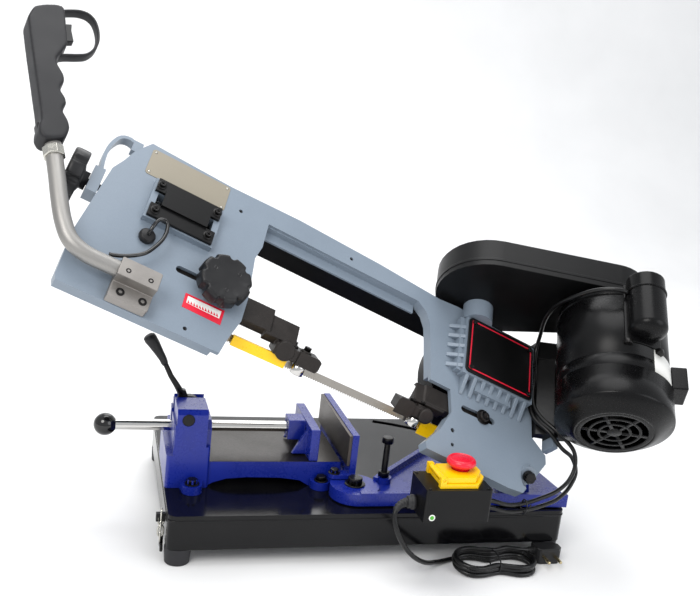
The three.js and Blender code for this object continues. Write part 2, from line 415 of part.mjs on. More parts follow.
// ================================================================ bow: handle
add(bow, 'handle_clamp', cut(
  slab(roundRect(-372, -53, -318, -3, 2, 2), 40.3, 74),
  rod('x', [-15, 60], TUBE_R + 0.4, -400, -322, 28), box(-380, -310, -60, -30, 56, 80)), 'steel');
add(bow, 'handle_tube', along([[-323, -15, 60], [-352, -15, 60], [-385, -15, 60], [-415, -14, 60], [-437, -5, 60], [-454, 16, 60], [-470, 46, 60], [-485, 78, 60], [-501.8, 111.9, 60], [-519.4, 147.1, 60]], TUBE_R, 24, 14), 'steel');
{
  // moulded pistol grip with a finger guard, drawn in the plane of the bent tube
  const hand = [[-518.4, 112.1], [-495, 127.5], [-496.8, 134.3], [-497.8, 147.9], [-502.5, 157.2], [-511.7, 167], [-514.2, 179.9], [-518.6, 187.9], [-525.2, 196.1], [-530.1, 217.2], [-535.8, 228.4], [-545.5, 240.5], [-548.9, 253.7], [-546, 262],
    [-571.5, 338.5], [-566, 352], [-580, 340], [-607.4, 315.1], [-607.6, 291.2], [-579.2, 233.4], [-551.4, 178.3], [-528.4, 133.4], [-531.5, 130.2], [-524.3, 114.2]];
  const loopOut = [[-548.9, 253.7], [-544.3, 266.5], [-519.2, 287.2], [-511.9, 302.1], [-511.5, 325.6], [-521.8, 351.7], [-538.1, 366.4], [-551.8, 365.2], [-590, 330], [-590, 290]];
  const loopIn = [[-571.5, 338.5], [-545.3, 362.5], [-531.3, 359], [-521.7, 343.1], [-515.4, 326.7], [-515.2, 303.6], [-523.2, 290.8], [-543, 277.8], [-546.5, 280.1]];
  const grip = [[-607.4, 315.1], [-607.6, 291.2], [-579.2, 233.4], [-551.4, 178.3], [-528.4, 133.4], [-531.5, 130.2], [-524.3, 114.2], ...hand.slice(0, 13), [-546.5, 280.1], [-571.5, 338.5], [-578, 341.6]];
  add(bow, 'handle_grip', cut(
    join(slab(ccw(grip), 45, 75), slab(ccw(loopOut), 51, 69)),
    slab(ccw(loopIn), 40, 80), along([[-492, 92.3, 60], [-501.8, 111.9, 60], [-519.4, 147.1, 60], [-520.6, 149.5, 60]], TUBE_R + 0.5, 3, 14), slab(ccw([[-579.2, 318.3], [-562.6, 325.4], [-548.5, 292.5], [-565.1, 285.4]]), 54, 66)), 'rubber');
  add(bow, 'trigger', slab(ccw([[-572.1, 318.4], [-564.7, 321.6], [-555, 328.8], [-551.7, 317.6], [-542.2, 300.3], [-552.1, 292], [-559.5, 288.8]]), 54.6, 65.4), 'plastic');
}
add(bow, 'trigger_cable', along([[-350, 64, 40.6], [-350, 64, 50], [-349, 72, 57], [-344, 86, 60], [-334, 87, 60], [-327, 76, 60], [-327, 60, 60], [-334, 42, 60], [-347, 25, 60], [-364, 11, 60], [-378, 3.5, 60], [-388, -0.2, 60]], 2.75, 20, 8), 'rubber');

// ================================================================ bow: motor and belt drive
{
  const m = [MOTOR.u, MOTOR.n];
  const clear = rod('y', m, MOTOR.r + 0.5, 0, 260, 44);
  const plate = (pts) => slabY(ccw(pts), 39, 180);
  add(bow, 'motor_plate', cut(join(
    plate([[309, 24], [315, 24], [315, 36], [342, 50], [340, 60], [330, 66], [309, 47]]),
    plate([[334, 53], [343, 49], [404, 108], [394, 118]]),
    rod('x', [29, 44], 7, 331.5, 345, 6), box(331.5, 341, 20, 50, 36, 62)),
    clear, rod('y', m, 85.6, 0, 66.5, 44)), 'black');
  add(bow, 'motor_body', cut(join(rod('y', m, MOTOR.r, 66, 206, 44)), rod('y', m, 9.5, 60, 210, 24)), 'black');
  add(bow, 'fan_cover', cut(
    lathe('y', m, [[0, 0], [57, 0], [62, 4], [85, 18], [85, 64], [82.5, 64], [82.5, 20], [56, 3], [0, 3]], 40),
    ...[0, 1, 2, 3, 4, 5].map((k) => rod('y', [m[0] + 34 * Math.cos(k * Math.PI / 3), m[1] + 34 * Math.sin(k * Math.PI / 3)], 13, -5, 8, 16))), 'black');
  const blades = [];
  for (let k = 0; k < 6; k++) blades.push(new THREE.BoxGeometry(4, 22, 44).translate(0, 40, 36).applyMatrix4(new THREE.Matrix4().makeRotationY(k * Math.PI / 3)).translate(m[0], 0, m[1]));
  add(bow, 'motor_shaft', join(
    rod('y', m, 9, 30, 232, 24), rod('y', m, 20, 32, 44, 26), ...blades,
    lathe('y', m, [[0, 228], [28, 228], [28, 230.5], [21, 234], [21, 243], [28, 246.5], [28, 249], [0, 249]], 26)), 'steel');
  const w = [WORM.u, WORM.n];
  add(bow, 'belt', (() => {
    const flip = (pts) => pts.map(([x, y]) => [x, y]);
    return slabY2(flip(obround(w, 45.4, m, 27.4, 18)), flip(obround(w, 39.6, m, 21.6, 18)), 234.6, 242.4);
  })(), 'rubber');
  const c1 = [179, 82], c2 = [336, 180];
  add(bow, 'belt_cover', cut(
    slabY(ccw(obround(c1, 86, c2, 59, 20)), 215, 265), slabY(ccw(obround(c1, 83, c2, 56, 20)), 218, 262),
    rod('y', [WORM.u, 52], 16, 210, 220, 30), rod('y', m, 24, 210, 220, 30)), 'black');
  add(bow, 'capacitor_housing', cut(
    rod('y', [323, 271], 28, 110, 214.7, 34), clear), 'black');
  const jb = new THREE.Matrix4().makeRotationY(-36.5 * Math.PI / 180).setPosition(MOTOR.u, 0, MOTOR.n);
  add(bow, 'junction_box', cut(box(60, 103, 69, 107, -22, 22).applyMatrix4(jb), clear), 'black');
}
function slabY2(outer, inner, lo, hi) {
  return cut(slabY(ccw(outer), lo, hi), slabY(ccw(inner), lo - 1, hi + 1));
}

// ================================================================ cords
{
  // mains lead: from the box's left gland over the skirt's front edge to the hank
  add(base, 'mains_cord', along([[325.6, -47, 41], [318, -47.5, 40.5], [308, -50, 36], [302, -55, 25], [306, -61, 6], [318, -62, -16], [337, -57, -37], [362, -43, -55], [388, -23, -66.5], [413.2, -11.8, -70.6]], 3.5, 16, 8), 'rubber');
  const hank = [...circle(440, -31, 29.8, Math.PI / 2, 1.5 * Math.PI, 12), ...circle(512, -33, 29.8, -Math.PI / 2, Math.PI / 2, 12)];
  add(base, 'cord_hank', slab(ccw(hank), -74.7, -50), 'rubber');
  add(base, 'mains_plug', join(
    box(550, 591, -26, -3, -74.7, -49.5), box(542.2, 552, -19, -8, -63, -50),
    rod('y', [560.5, -62], 2.4, -45, -25, 12), rod('y', [579.5, -62], 2.4, -45, -25, 12)), 'rubber');
  // two leads from the box's right side, round the bow's hinge end and up beside the gearbox
  const onBow = (u, s, n) => new THREE.Vector3(u, s, n).applyMatrix4(BOW).toArray();
  add(base, 'motor_cable', along([[430.5, -52, 44], [448, -51, 43], [478, -42, 32], [512, -26, 26], [545, -14, 28], [576, -6, 36], [597, 1, 50], [607, 7, 70], onBow(357, 16, 80), onBow(329, 36, 78), onBow(305, 62, 62), onBow(298, 86, 53.5), onBow(298, 130, 53.5), onBow(298, 168, 54),
    onBow(296, 190, 60), onBow(286, 199, 80), onBow(266, 200, 114), onBow(252, 197, 152), onBow(250, 191, 192), onBow(262, 187, 236), onBow(282, 185, 258), onBow(296.2, 184, 262)], 3.2, 50, 8), 'rubber');
  add(base, 'control_cable', along([[430.5, -52, 34], [448, -51, 32.5], [478, -44, 22], [512, -31, 17.5], [545, -19, 18], [580, -4, 22], [606, 11, 34], [619, 21, 54], [611, 25, 76], onBow(346, 21, 66), onBow(321, 38, 66), onBow(303, 60, 52), onBow(298, 84, 45.3), onBow(298, 130, 45.3), onBow(298, 168, 45.3), onBow(297.5, 184, 46.5), onBow(293, 191.5, 48), onBow(287, 192.5, 46.5), onBow(284, 192.5, 43.5), onBow(284, 192.5, 40.6)], 3.2, 40, 8), 'rubber');
}

export default saw;
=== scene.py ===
import json
import math

import bmesh
import bpy
from mathutils import Matrix, Vector

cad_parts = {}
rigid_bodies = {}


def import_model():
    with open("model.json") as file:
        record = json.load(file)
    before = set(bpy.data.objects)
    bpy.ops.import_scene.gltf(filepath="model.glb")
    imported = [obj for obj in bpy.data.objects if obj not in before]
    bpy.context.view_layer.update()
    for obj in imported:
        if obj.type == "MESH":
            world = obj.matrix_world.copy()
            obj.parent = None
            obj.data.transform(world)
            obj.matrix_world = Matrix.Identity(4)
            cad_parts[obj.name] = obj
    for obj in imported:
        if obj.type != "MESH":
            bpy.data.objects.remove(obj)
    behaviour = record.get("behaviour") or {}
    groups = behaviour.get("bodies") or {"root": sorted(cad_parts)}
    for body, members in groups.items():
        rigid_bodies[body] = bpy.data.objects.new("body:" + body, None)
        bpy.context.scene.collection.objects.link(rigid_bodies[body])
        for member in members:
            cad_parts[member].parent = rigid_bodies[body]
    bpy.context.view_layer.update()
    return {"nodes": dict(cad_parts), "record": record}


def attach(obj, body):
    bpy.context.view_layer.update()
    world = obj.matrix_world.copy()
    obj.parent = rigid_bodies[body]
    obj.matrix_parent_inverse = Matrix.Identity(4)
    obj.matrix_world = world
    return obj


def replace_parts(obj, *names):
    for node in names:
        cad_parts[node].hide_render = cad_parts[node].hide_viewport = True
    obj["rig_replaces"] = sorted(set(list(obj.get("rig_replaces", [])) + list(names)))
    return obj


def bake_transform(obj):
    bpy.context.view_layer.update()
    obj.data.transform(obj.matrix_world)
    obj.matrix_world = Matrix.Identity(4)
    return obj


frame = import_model()
nodes = frame["nodes"]

# ------------------------------------------------------------------ frames, in millimetres
OFF = Vector((-18, -18, 75))
TILT = math.radians(22.3)
BU = Vector((math.cos(TILT), 0, -math.sin(TILT)))
UP = Vector((math.sin(TILT), 0, math.cos(TILT)))
YA = Vector((0, 1, 0))
BS = (UP + YA) / math.sqrt(2)
BN = (UP - YA) / math.sqrt(2)
MO = Vector((247.211, 57, 165.961))


def frame_matrix(o, a, b, c):
    m = Matrix.Identity(4)
    for i, v in enumerate((a, b, c)):
        for r in range(3):
            m[r][i] = v[r] * 0.001
    for r in range(3):
        m[r][3] = o[r] * 0.001
    return m


BASE = frame_matrix(OFF, Vector((1, 0, 0)), YA, Vector((0, 0, 1)))
BOW = frame_matrix(OFF + MO, BU, BS, BN)
CUT = frame_matrix(OFF + MO - YA * 57, BU, YA, UP)


def at_bow(u, s, n):
    return BOW @ Vector((u, s, n))


# ------------------------------------------------------------------ camera
F_PX = 896.203
psi, theta, roll = (math.radians(a) for a in (16.2652, 12.1227, 6.5622))
fwd = Vector((math.sin(psi) * math.cos(theta), math.cos(psi) * math.cos(theta), -math.sin(theta)))
r0 = Vector((math.cos(psi), -math.sin(psi), 0))
u0 = r0.cross(fwd)
right = math.cos(roll) * r0 + math.sin(roll) * u0
above = -math.sin(roll) * r0 + math.cos(roll) * u0
cam_data = bpy.data.cameras.new("camera")
cam_data.sensor_width = 36
cam_data.lens = F_PX / 700 * 36
cam_data.clip_end = 60
cam = bpy.data.objects.new("camera", cam_data)
bpy.context.collection.objects.link(cam)
cm = Matrix.Identity(4)
for i, v in enumerate((right, above, -fwd)):
    for r in range(3):
        cm[r][i] = v[r]
place = (Vector((-110.484, -1129.453, 568.712)) + OFF) * 0.001
for r in range(3):
    cm[r][3] = place[r]
cam.matrix_world = cm
bpy.context.scene.camera = cam


# ------------------------------------------------------------------ materials
def srgb(r, g, b):
    def f(c):
        c /= 255
        return c / 12.92 if c <= 0.04045 else ((c + 0.055) / 1.055) ** 2.4
    return (f(r), f(g), f(b), 1)


class Nodes:
    def __init__(self, name):
        self.m = bpy.data.materials.new(name)
        self.m.use_nodes = True
        self.t = self.m.node_tree
        self.bsdf = self.t.nodes["Principled BSDF"]
        self.co = self.t.nodes.new("ShaderNodeTexCoord").outputs["Object"]

    def new(self, kind, **props):
        n = self.t.nodes.new(kind)
        for k, v in props.items():
            setattr(n, k, v)
        return n

    def link(self, a, b):
        self.t.links.new(a, b)

    def scaled(self, s):
        m = self.new("ShaderNodeMapping")
        m.inputs["Scale"].default_value = s
        self.link(self.co, m.inputs["Vector"])
        return m.outputs["Vector"]

    def noise(self, scale, detail=3, rough=0.5, vec=None):
        n = self.new("ShaderNodeTexNoise")
        n.inputs["Scale"].default_value = scale
        n.inputs["Detail"].default_value = detail
        n.inputs["Roughness"].default_value = rough
        self.link(vec or self.co, n.inputs["Vector"])
        return n.outputs["Fac"]

    def ramp(self, fac, lo, hi, a, b):
        r = self.new("ShaderNodeMapRange")
        for k, v in (("From Min", lo), ("From Max", hi), ("To Min", a), ("To Max", b)):
            r.inputs[k].default_value = v
        self.link(fac, r.inputs["Value"])
        return r.outputs["Result"]

    def mix(self, fac, a, b):
        n = self.new("ShaderNodeMix", data_type="RGBA")
        for sock, v in ((n.inputs[0], fac), (n.inputs[6], a), (n.inputs[7], b)):
            if isinstance(v, bpy.types.NodeSocket):
                self.link(v, sock)
            else:
                sock.default_value = v
        return n.outputs[2]

    def math(self, op, a, b=0.0, c=0.0):
        n = self.new("ShaderNodeMath", operation=op)
        for sock, v in zip(n.inputs, (a, b, c)):
            if isinstance(v, bpy.types.NodeSocket):
                self.link(v, sock)
            else:
                sock.default_value = v
        return n.outputs[0]

    def bump(self, height, strength, distance):
        n = self.new("ShaderNodeBump")
        n.inputs["Strength"].default_value = strength
        n.inputs["Distance"].default_value = distance
        self.link(height, n.inputs["Height"])
        self.link(n.outputs["Normal"], self.bsdf.inputs["Normal"])

    def set(self, **values):
        for k, v in values.items():
            self.bsdf.inputs[k.replace("_", " ")].default_value = v


def surface(name, colour, rough, metal=0.0, grain=600.0, bump=0.15, depth=0.0002, vary=0.10, rough_vary=0.08,
            coat=0.0, dirt=14.0, stretch=None, spec=0.5):
    """One finish: mottled colour, uneven roughness and a fine grain, all in the piece's own coordinates."""
    n = Nodes(name)
    c = Vector(colour[:3])
    dark = (*[x * (1 - vary) for x in c], 1)
    light = (*[min(1, x * (1 + vary) + 0.002) for x in c], 1)
    broad = n.noise(dirt, 4, 0.6)
    vec = n.scaled(stretch) if stretch else None
    fine = n.noise(grain, 3, 0.55, vec)
    both = n.math("MULTIPLY_ADD", fine, 0.35, n.math("MULTIPLY", broad, 0.65))
    n.link(n.mix(n.ramp(both, 0.3, 0.7, 0, 1), dark, light), n.bsdf.inputs["Base Color"])
    n.link(n.ramp(both, 0.3, 0.7, max(0.02, rough - rough_vary), rough + rough_vary), n.bsdf.inputs["Roughness"])
    n.set(Metallic=metal, Coat_Weight=coat, Coat_Roughness=0.08, Specular_IOR_Level=spec)
    n.bump(fine, bump, depth)
    return n


MAT = {}
MAT["casting"] = surface("casting_enamel", srgb(122, 134, 147), 0.36, grain=420, bump=0.24, depth=0.0003, vary=0.06, coat=0.12, dirt=9, spec=0.4).m
MAT["blue"] = surface("blue_enamel", srgb(14, 34, 132), 0.27, grain=330, bump=0.4, depth=0.0005, vary=0.18, coat=0.12, dirt=16, spec=0.4).m
MAT["pan"] = surface("black_gloss_sheet", srgb(7, 7, 9), 0.15, grain=60, bump=0.03, depth=0.0006, vary=0.2, rough_vary=0.05, dirt=7, spec=0.26).m
MAT["black"] = surface("black_satin_enamel", srgb(10, 10, 11), 0.36, grain=700, bump=0.2, depth=0.0002, vary=0.2, dirt=10, spec=0.22).m
MAT["motor"] = surface("black_motor_enamel", srgb(6, 6, 7), 0.28, grain=520, bump=0.12, depth=0.0002, vary=0.2, dirt=10, spec=0.18).m
MAT["plastic"] = surface("black_plastic", srgb(21, 21, 23), 0.4, grain=1500, bump=0.25, depth=0.00012, vary=0.14, dirt=30, spec=0.35).m
MAT["switch"] = surface("black_switch_plastic", srgb(8, 8, 9), 0.34, grain=1100, bump=0.3, depth=0.00015, vary=0.14, dirt=26, spec=0.22).m
MAT["gloss"] = surface("black_gloss_plastic", srgb(8, 8, 9), 0.08, grain=300, bump=0.02, depth=0.0001, vary=0.1, rough_vary=0.03, coat=0.2, dirt=30, spec=0.5).m
MAT["rubber"] = surface("black_rubber", srgb(26, 26, 28), 0.55, grain=900, bump=0.25, depth=0.0002, vary=0.15, dirt=25).m
MAT["foot"] = surface("grey_black_rubber", srgb(38, 38, 41), 0.5, grain=900, bump=0.25, depth=0.0002, vary=0.12, dirt=35, spec=0.3).m
MAT["sheath"] = surface("cable_sheath", srgb(11, 11, 12), 0.3, grain=500, bump=0.05, depth=0.0002, vary=0.15, dirt=30, spec=0.35).m
MAT["grip"] = surface("grip_rubber", srgb(27, 27, 30), 0.5, grain=1300, bump=0.3, depth=0.0002, vary=0.12, dirt=22, spec=0.35).m
MAT["steel"] = surface("turned_steel", srgb(178, 176, 172), 0.24, metal=1, grain=90, bump=0.06, depth=0.0001, vary=0.08, stretch=(1, 14, 14), dirt=20).m
MAT["chrome"] = surface("plated_bar", srgb(205, 203, 200), 0.12, metal=1, grain=60, bump=0.02, depth=0.0001, vary=0.05, rough_vary=0.04, dirt=12).m
MAT["tube"] = surface("satin_tube", srgb(152, 150, 147), 0.46, metal=0.85, grain=700, bump=0.1, depth=0.0001, vary=0.06, dirt=18).m
MAT["block"] = surface("machined_block", srgb(150, 146, 142), 0.42, metal=0.9, grain=160, bump=0.12, depth=0.0001, vary=0.1, stretch=(1, 9, 1), dirt=30).m
MAT["dark"] = surface("blackened_iron", srgb(40, 36, 34), 0.44, metal=0.35, grain=480, bump=0.5, depth=0.0006, vary=0.25, rough_vary=0.12, dirt=40, spec=0.35).m
MAT["jaw"] = surface("ground_jaw_face", srgb(84, 78, 73), 0.38, metal=0.85, grain=70, bump=0.1, depth=0.0001, vary=0.18, stretch=(1, 1, 12), dirt=18).m
MAT["screw"] = surface("black_oxide_screw", srgb(30, 29, 29), 0.3, metal=0.7, grain=500, bump=0.1, depth=0.0001, vary=0.2, dirt=60).m
MAT["zinc"] = surface("zinc_plate", srgb(196, 194, 186), 0.22, metal=1, grain=300, bump=0.08, depth=0.0001, vary=0.12, dirt=60).m
MAT["blade"] = surface("blade_steel", srgb(150, 146, 140), 0.3, metal=1, grain=260, bump=0.05, depth=0.0001, vary=0.12, stretch=(1, 1, 1), dirt=30).m
MAT["yellow"] = surface("yellow_plastic", srgb(255, 202, 0), 0.3, grain=900, bump=0.12, depth=0.0001, vary=0.05, dirt=30).m
MAT["guard"] = surface("yellow_enamel", srgb(255, 200, 0), 0.3, grain=420, bump=0.14, depth=0.0002, vary=0.06, dirt=24).m
MAT["red"] = surface("red_plastic", srgb(222, 22, 50), 0.28, grain=900, bump=0.1, depth=0.0001, vary=0.06, dirt=30).m
MAT["beige"] = surface("plain_plate", srgb(142, 135, 120), 0.42, metal=0.15, grain=260, bump=0.05, depth=0.0001, vary=0.05, stretch=(1, 6, 6), dirt=12).m
MAT["white"] = surface("plain_label", srgb(226, 226, 222), 0.45, grain=500, bump=0.04, depth=0.0001, vary=0.03, dirt=20).m
MAT["redline"] = surface("red_border", srgb(214, 24, 52), 0.4, grain=500, bump=0.03, depth=0.0001, vary=0.04, dirt=20).m
MAT["green"] = surface("green_dot", srgb(70, 168, 40), 0.4, grain=500, bump=0.03, depth=0.0001, vary=0.05, dirt=20).m
MAT["bronze"] = surface("cut_bronze", srgb(176, 132, 66), 0.3, metal=1, grain=300, bump=0.1, depth=0.0001, vary=0.12, dirt=30).m
MAT["brass"] = surface("plug_pins", srgb(206, 190, 150), 0.25, metal=1, grain=300, bump=0.04, depth=0.0001, vary=0.06, dirt=40).m
MAT["grey"] = surface("grey_teeth", srgb(120, 120, 124), 0.45, grain=500, bump=0.03, depth=0.0001, vary=0.05, dirt=20).m


def vise_material():
    """Blue enamel, with the bed's top ground bare."""
    n = Nodes("vise_enamel")
    broad, fine = n.noise(16, 4, 0.6), n.noise(330, 3, 0.55)
    both = n.math("MULTIPLY_ADD", fine, 0.35, n.math("MULTIPLY", broad, 0.65))
    f = n.ramp(both, 0.3, 0.7, 0, 1)
    c = srgb(14, 34, 132)
    blue = n.mix(f, (*[x * 0.84 for x in c[:3]], 1), (*[x * 1.16 for x in c[:3]], 1))
    g = srgb(54, 50, 47)
    scratch = n.noise(60, 5, 0.6, n.scaled((30, 1, 1)))
    metal = n.mix(n.ramp(scratch, 0.3, 0.7, 0, 1), (*[x * 0.75 for x in g[:3]], 1), (*[x * 1.25 for x in g[:3]], 1))
    sep = n.new("ShaderNodeSeparateXYZ")
    n.link(n.co, sep.inputs[0])
    top = n.math("COMPARE", sep.outputs[2], (39 + 75) * 0.001, 0.0003)
    past = n.math("GREATER_THAN", sep.outputs[0], (63.2 - 18) * 0.001)
    bare = n.math("MULTIPLY", top, past)
    n.link(n.mix(bare, blue, metal), n.bsdf.inputs["Base Color"])
    n.link(n.math("MULTIPLY", bare, 0.85), n.bsdf.inputs["Metallic"])
    n.link(n.math("MULTIPLY_ADD", bare, 0.1, n.ramp(both, 0.3, 0.7, 0.22, 0.36)), n.bsdf.inputs["Roughness"])
    n.set(Coat_Weight=0.1, Coat_Roughness=0.08, Specular_IOR_Level=0.4)
    n.bump(fine, 0.35, 0.0004)
    return n.m


MAT["vise"] = vise_material()


def hinge_plate_material():
    """Black enamel above, casting enamel on the lug below, split at a line across the bow."""
    n = Nodes("hinge_plate_enamel")
    fine, broad = n.noise(520, 3, 0.55), n.noise(10, 4, 0.6)
    f = n.ramp(n.math("MULTIPLY_ADD", fine, 0.35, n.math("MULTIPLY", broad, 0.65)), 0.3, 0.7, 0, 1)
    a, b = srgb(122, 134, 147), srgb(12, 12, 13)
    pale = n.mix(f, (*[x * 0.94 for x in a[:3]], 1), (*[x * 1.06 for x in a[:3]], 1))
    dark = n.mix(f, (*[x * 0.8 for x in b[:3]], 1), (*[x * 1.2 for x in b[:3]], 1))
    dot = n.new("ShaderNodeVectorMath", operation="DOT_PRODUCT")
    n.link(n.co, dot.inputs[0])
    dot.inputs[1].default_value = BS
    above = n.math("GREATER_THAN", dot.outputs["Value"], at_bow(0, 38.6, 0).dot(BS))
    n.link(n.mix(above, pale, dark), n.bsdf.inputs["Base Color"])
    n.link(n.ramp(fine, 0.3, 0.7, 0.28, 0.42), n.bsdf.inputs["Roughness"])
    n.set(Specular_IOR_Level=0.35)
    n.bump(fine, 0.2, 0.0003)
    return n.m


MAT["hinge"] = hinge_plate_material()


# ------------------------------------------------------------------ mesh helpers
def circle(n, r, phase=0.0):
    return [(r * math.cos(phase + 2 * math.pi * k / n), r * math.sin(phase + 2 * math.pi * k / n)) for k in range(n)]


class Shape:
    """Gathers solids given in a local frame, in millimetres."""

    def __init__(self, f):
        self.f, self.v, self.q = f, [], []

    def put(self, verts, faces):
        k = len(self.v)
        self.v += [self.f @ Vector(p) for p in verts]
        self.q += [[i + k for i in face] for face in faces]
        return self

    @staticmethod
    def lift(axis, a, b, h):
        return {"z": (a, b, h), "y": (a, h, b), "x": (h, a, b)}[axis]

    def prism(self, pts, lo, hi, axis="z"):
        n = len(pts)
        v = [self.lift(axis, a, b, lo) for a, b in pts] + [self.lift(axis, a, b, hi) for a, b in pts]
        f = [list(range(n))[::-1], [i + n for i in range(n)]] + [[i, (i + 1) % n, (i + 1) % n + n, i + n] for i in range(n)]
        return self.put(v, f)

    def box(self, x0, x1, y0, y1, z0, z1):
        return self.prism([(x0, y0), (x1, y0), (x1, y1), (x0, y1)], z0, z1)

    def turned(self, axis, c, profile, seg=40):
        """A turned shape: profile of (radius, height), closed at both ends by radius 0."""
        v, rows = [], []
        for r, h in profile:
            if r < 1e-6:
                rows.append([len(v)])
                v.append(self.lift(axis, c[0], c[1], h))
            else:
                rows.append(list(range(len(v), len(v) + seg)))
                v += [self.lift(axis, c[0] + a, c[1] + b, h) for a, b in circle(seg, r)]
        f = []
        for p, q in zip(rows, rows[1:]):
            for k in range(seg):
                a, b = p[k % len(p)], p[(k + 1) % len(p)]
                c2, d = q[(k + 1) % len(q)], q[k % len(q)]
                face = []
                for i in (a, b, c2, d):
                    if i not in face:
                        face.append(i)
                if len(face) > 2:
                    f.append(face)
        return self.put(v, f)

    def socket(self, axis, c, r, lo, hi, seg=24):
        """A socket head screw seen from its hi end."""
        s = 1 if hi > lo else -1
        e = min(0.6, r * 0.14)
        hexr = r * 0.52
        depth = abs(hi - lo) * 0.55 + 0.2
        ring = circle(seg, 1.0)
        hexa = []
        for k in range(seg):
            a = 2 * math.pi * k / seg
            m = (a + math.pi / 6) % (math.pi / 3) - math.pi / 6
            d = hexr * math.cos(math.pi / 6) / math.cos(m)
            hexa.append((d * math.cos(a), d * math.sin(a)))
        rows = [([(x * r, y * r) for x, y in ring], lo), ([(x * r, y * r) for x, y in ring], hi - s * e),
                ([(x * (r - e), y * (r - e)) for x, y in ring], hi), (hexa, hi), (hexa, hi - s * depth)]
        v = []
        for pts, h in rows:
            v += [self.lift(axis, c[0] + x, c[1] + y, h) for x, y in pts]
        f = [[j * seg + k, j * seg + (k + 1) % seg, (j + 1) * seg + (k + 1) % seg, (j + 1) * seg + k] for j in range(4) for k in range(seg)]
        f += [list(range(seg))[::-1], [4 * seg + k for k in range(seg)]]
        return self.put(v, f)

    def hexhead(self, axis, c, r, lo, hi):
        s = 1 if hi > lo else -1
        e = r * 0.12
        pts = circle(6, r)
        return self.put([self.lift(axis, c[0] + x * k, c[1] + y * k, h) for k, h in ((1, lo), (1, hi - s * e), (0.9, hi)) for x, y in pts],
                        [[j * 6 + k, j * 6 + (k + 1) % 6, (j + 1) * 6 + (k + 1) % 6, (j + 1) * 6 + k] for j in range(2) for k in range(6)] + [[5, 4, 3, 2, 1, 0], [12, 13, 14, 15, 16, 17]])

    def tube(self, line, radius, seg=16, ends=True):
        """A tube along a line of points; radius is one number or one per point. The line is in this frame."""
        line = [Vector(p) for p in line]
        radii = radius if isinstance(radius, (list, tuple)) else [radius] * len(line)
        t = [(line[min(i + 1, len(line) - 1)] - line[max(i - 1, 0)]).normalized() for i in range(len(line))]
        ref = Vector((0, 0, 1)) if abs(t[0].z) < 0.9 else Vector((0, 1, 0))
        x = t[0].cross(ref).normalized()
        v, f = [], []
        for i, p in enumerate(line):
            x = (x - t[i] * x.dot(t[i])).normalized()
            y = t[i].cross(x)
            v += [p + (x * a + y * b) * radii[i] for a, b in circle(seg, 1)]
        for i in range(len(line) - 1):
            f += [[i * seg + k, i * seg + (k + 1) % seg, (i + 1) * seg + (k + 1) % seg, (i + 1) * seg + k] for k in range(seg)]
        if ends:
            f += [list(range(seg))[::-1], [(len(line) - 1) * seg + k for k in range(seg)]]
        return self.put(v, f)

    def loop(self, line, radius, seg=10):
        """A closed tube through the points of line."""
        line = [Vector(p) for p in line]
        n = len(line)
        c = sum(line, Vector()) / n
        nrm = (line[0] - c).cross(line[n // 4] - c).normalized()
        v, f = [], []
        for i, p in enumerate(line):
            tg = (line[(i + 1) % n] - line[i - 1]).normalized()
            x = tg.cross(nrm).normalized()
            v += [p + (x * a + nrm * b) * radius for a, b in circle(seg, 1)]
        for i in range(n):
            j = (i + 1) % n
            f += [[i * seg + k, i * seg + (k + 1) % seg, j * seg + (k + 1) % seg, j * seg + k] for k in range(seg)]
        return self.put(v, f)


def smooth_line(points, step, closed=False):
    """A centripetal curve through the points, sampled about every step."""
    p = [Vector(q) for q in points]
    p = [p[0] * 2 - p[1]] + p + [p[-1] * 2 - p[-2]]
    out = []
    for i in range(1, len(p) - 2):
        a, b, c, d = p[i - 1:i + 3]
        ta = 0.0
        tb = ta + max(1e-6, (b - a).length ** 0.5)
        tc = tb + max(1e-6, (c - b).length ** 0.5)
        td = tc + max(1e-6, (d - c).length ** 0.5)
        n = max(2, round((c - b).length / step))
        for k in range(n):
            t = tb + (tc - tb) * k / n
            a1 = a * ((tb - t) / (tb - ta)) + b * ((t - ta) / (tb - ta))
            a2 = b * ((tc - t) / (tc - tb)) + c * ((t - tb) / (tc - tb))
            a3 = c * ((td - t) / (td - tc)) + d * ((t - tc) / (td - tc))
            b1 = a1 * ((tc - t) / (tc - ta)) + a2 * ((t - ta) / (tc - ta))
            b2 = a2 * ((td - t) / (td - tb)) + a3 * ((t - tb) / (td - tb))
            out.append(b1 * ((tc - t) / (tc - tb)) + b2 * ((t - tb) / (tc - tb)))
    out.append(p[-2])
    return out


def even_line(points, step):
    """The same line with its points an equal way apart."""
    p = [Vector(q) for q in points]
    run = [0.0]
    for a, b in zip(p, p[1:]):
        run.append(run[-1] + (b - a).length)
    n = max(2, round(run[-1] / step))
    out, j = [], 0
    for k in range(n + 1):
        s = run[-1] * k / n
        while j < len(p) - 2 and run[j + 1] < s:
            j += 1
        f = 0 if run[j + 1] == run[j] else (s - run[j]) / (run[j + 1] - run[j])
        out.append(p[j].lerp(p[j + 1], f))
    return out


def modify(ob, bevel=0.0, segments=2, angle=32, weighted=True):
    if bevel:
        b = ob.modifiers.new("edges", "BEVEL")
        b.width, b.segments, b.limit_method, b.angle_limit = bevel * 0.001, segments, "ANGLE", math.radians(angle)
        b.miter_outer = "MITER_ARC"
    if weighted:
        w = ob.modifiers.new("normals", "WEIGHTED_NORMAL")
        w.weight, w.keep_sharp = 50, False


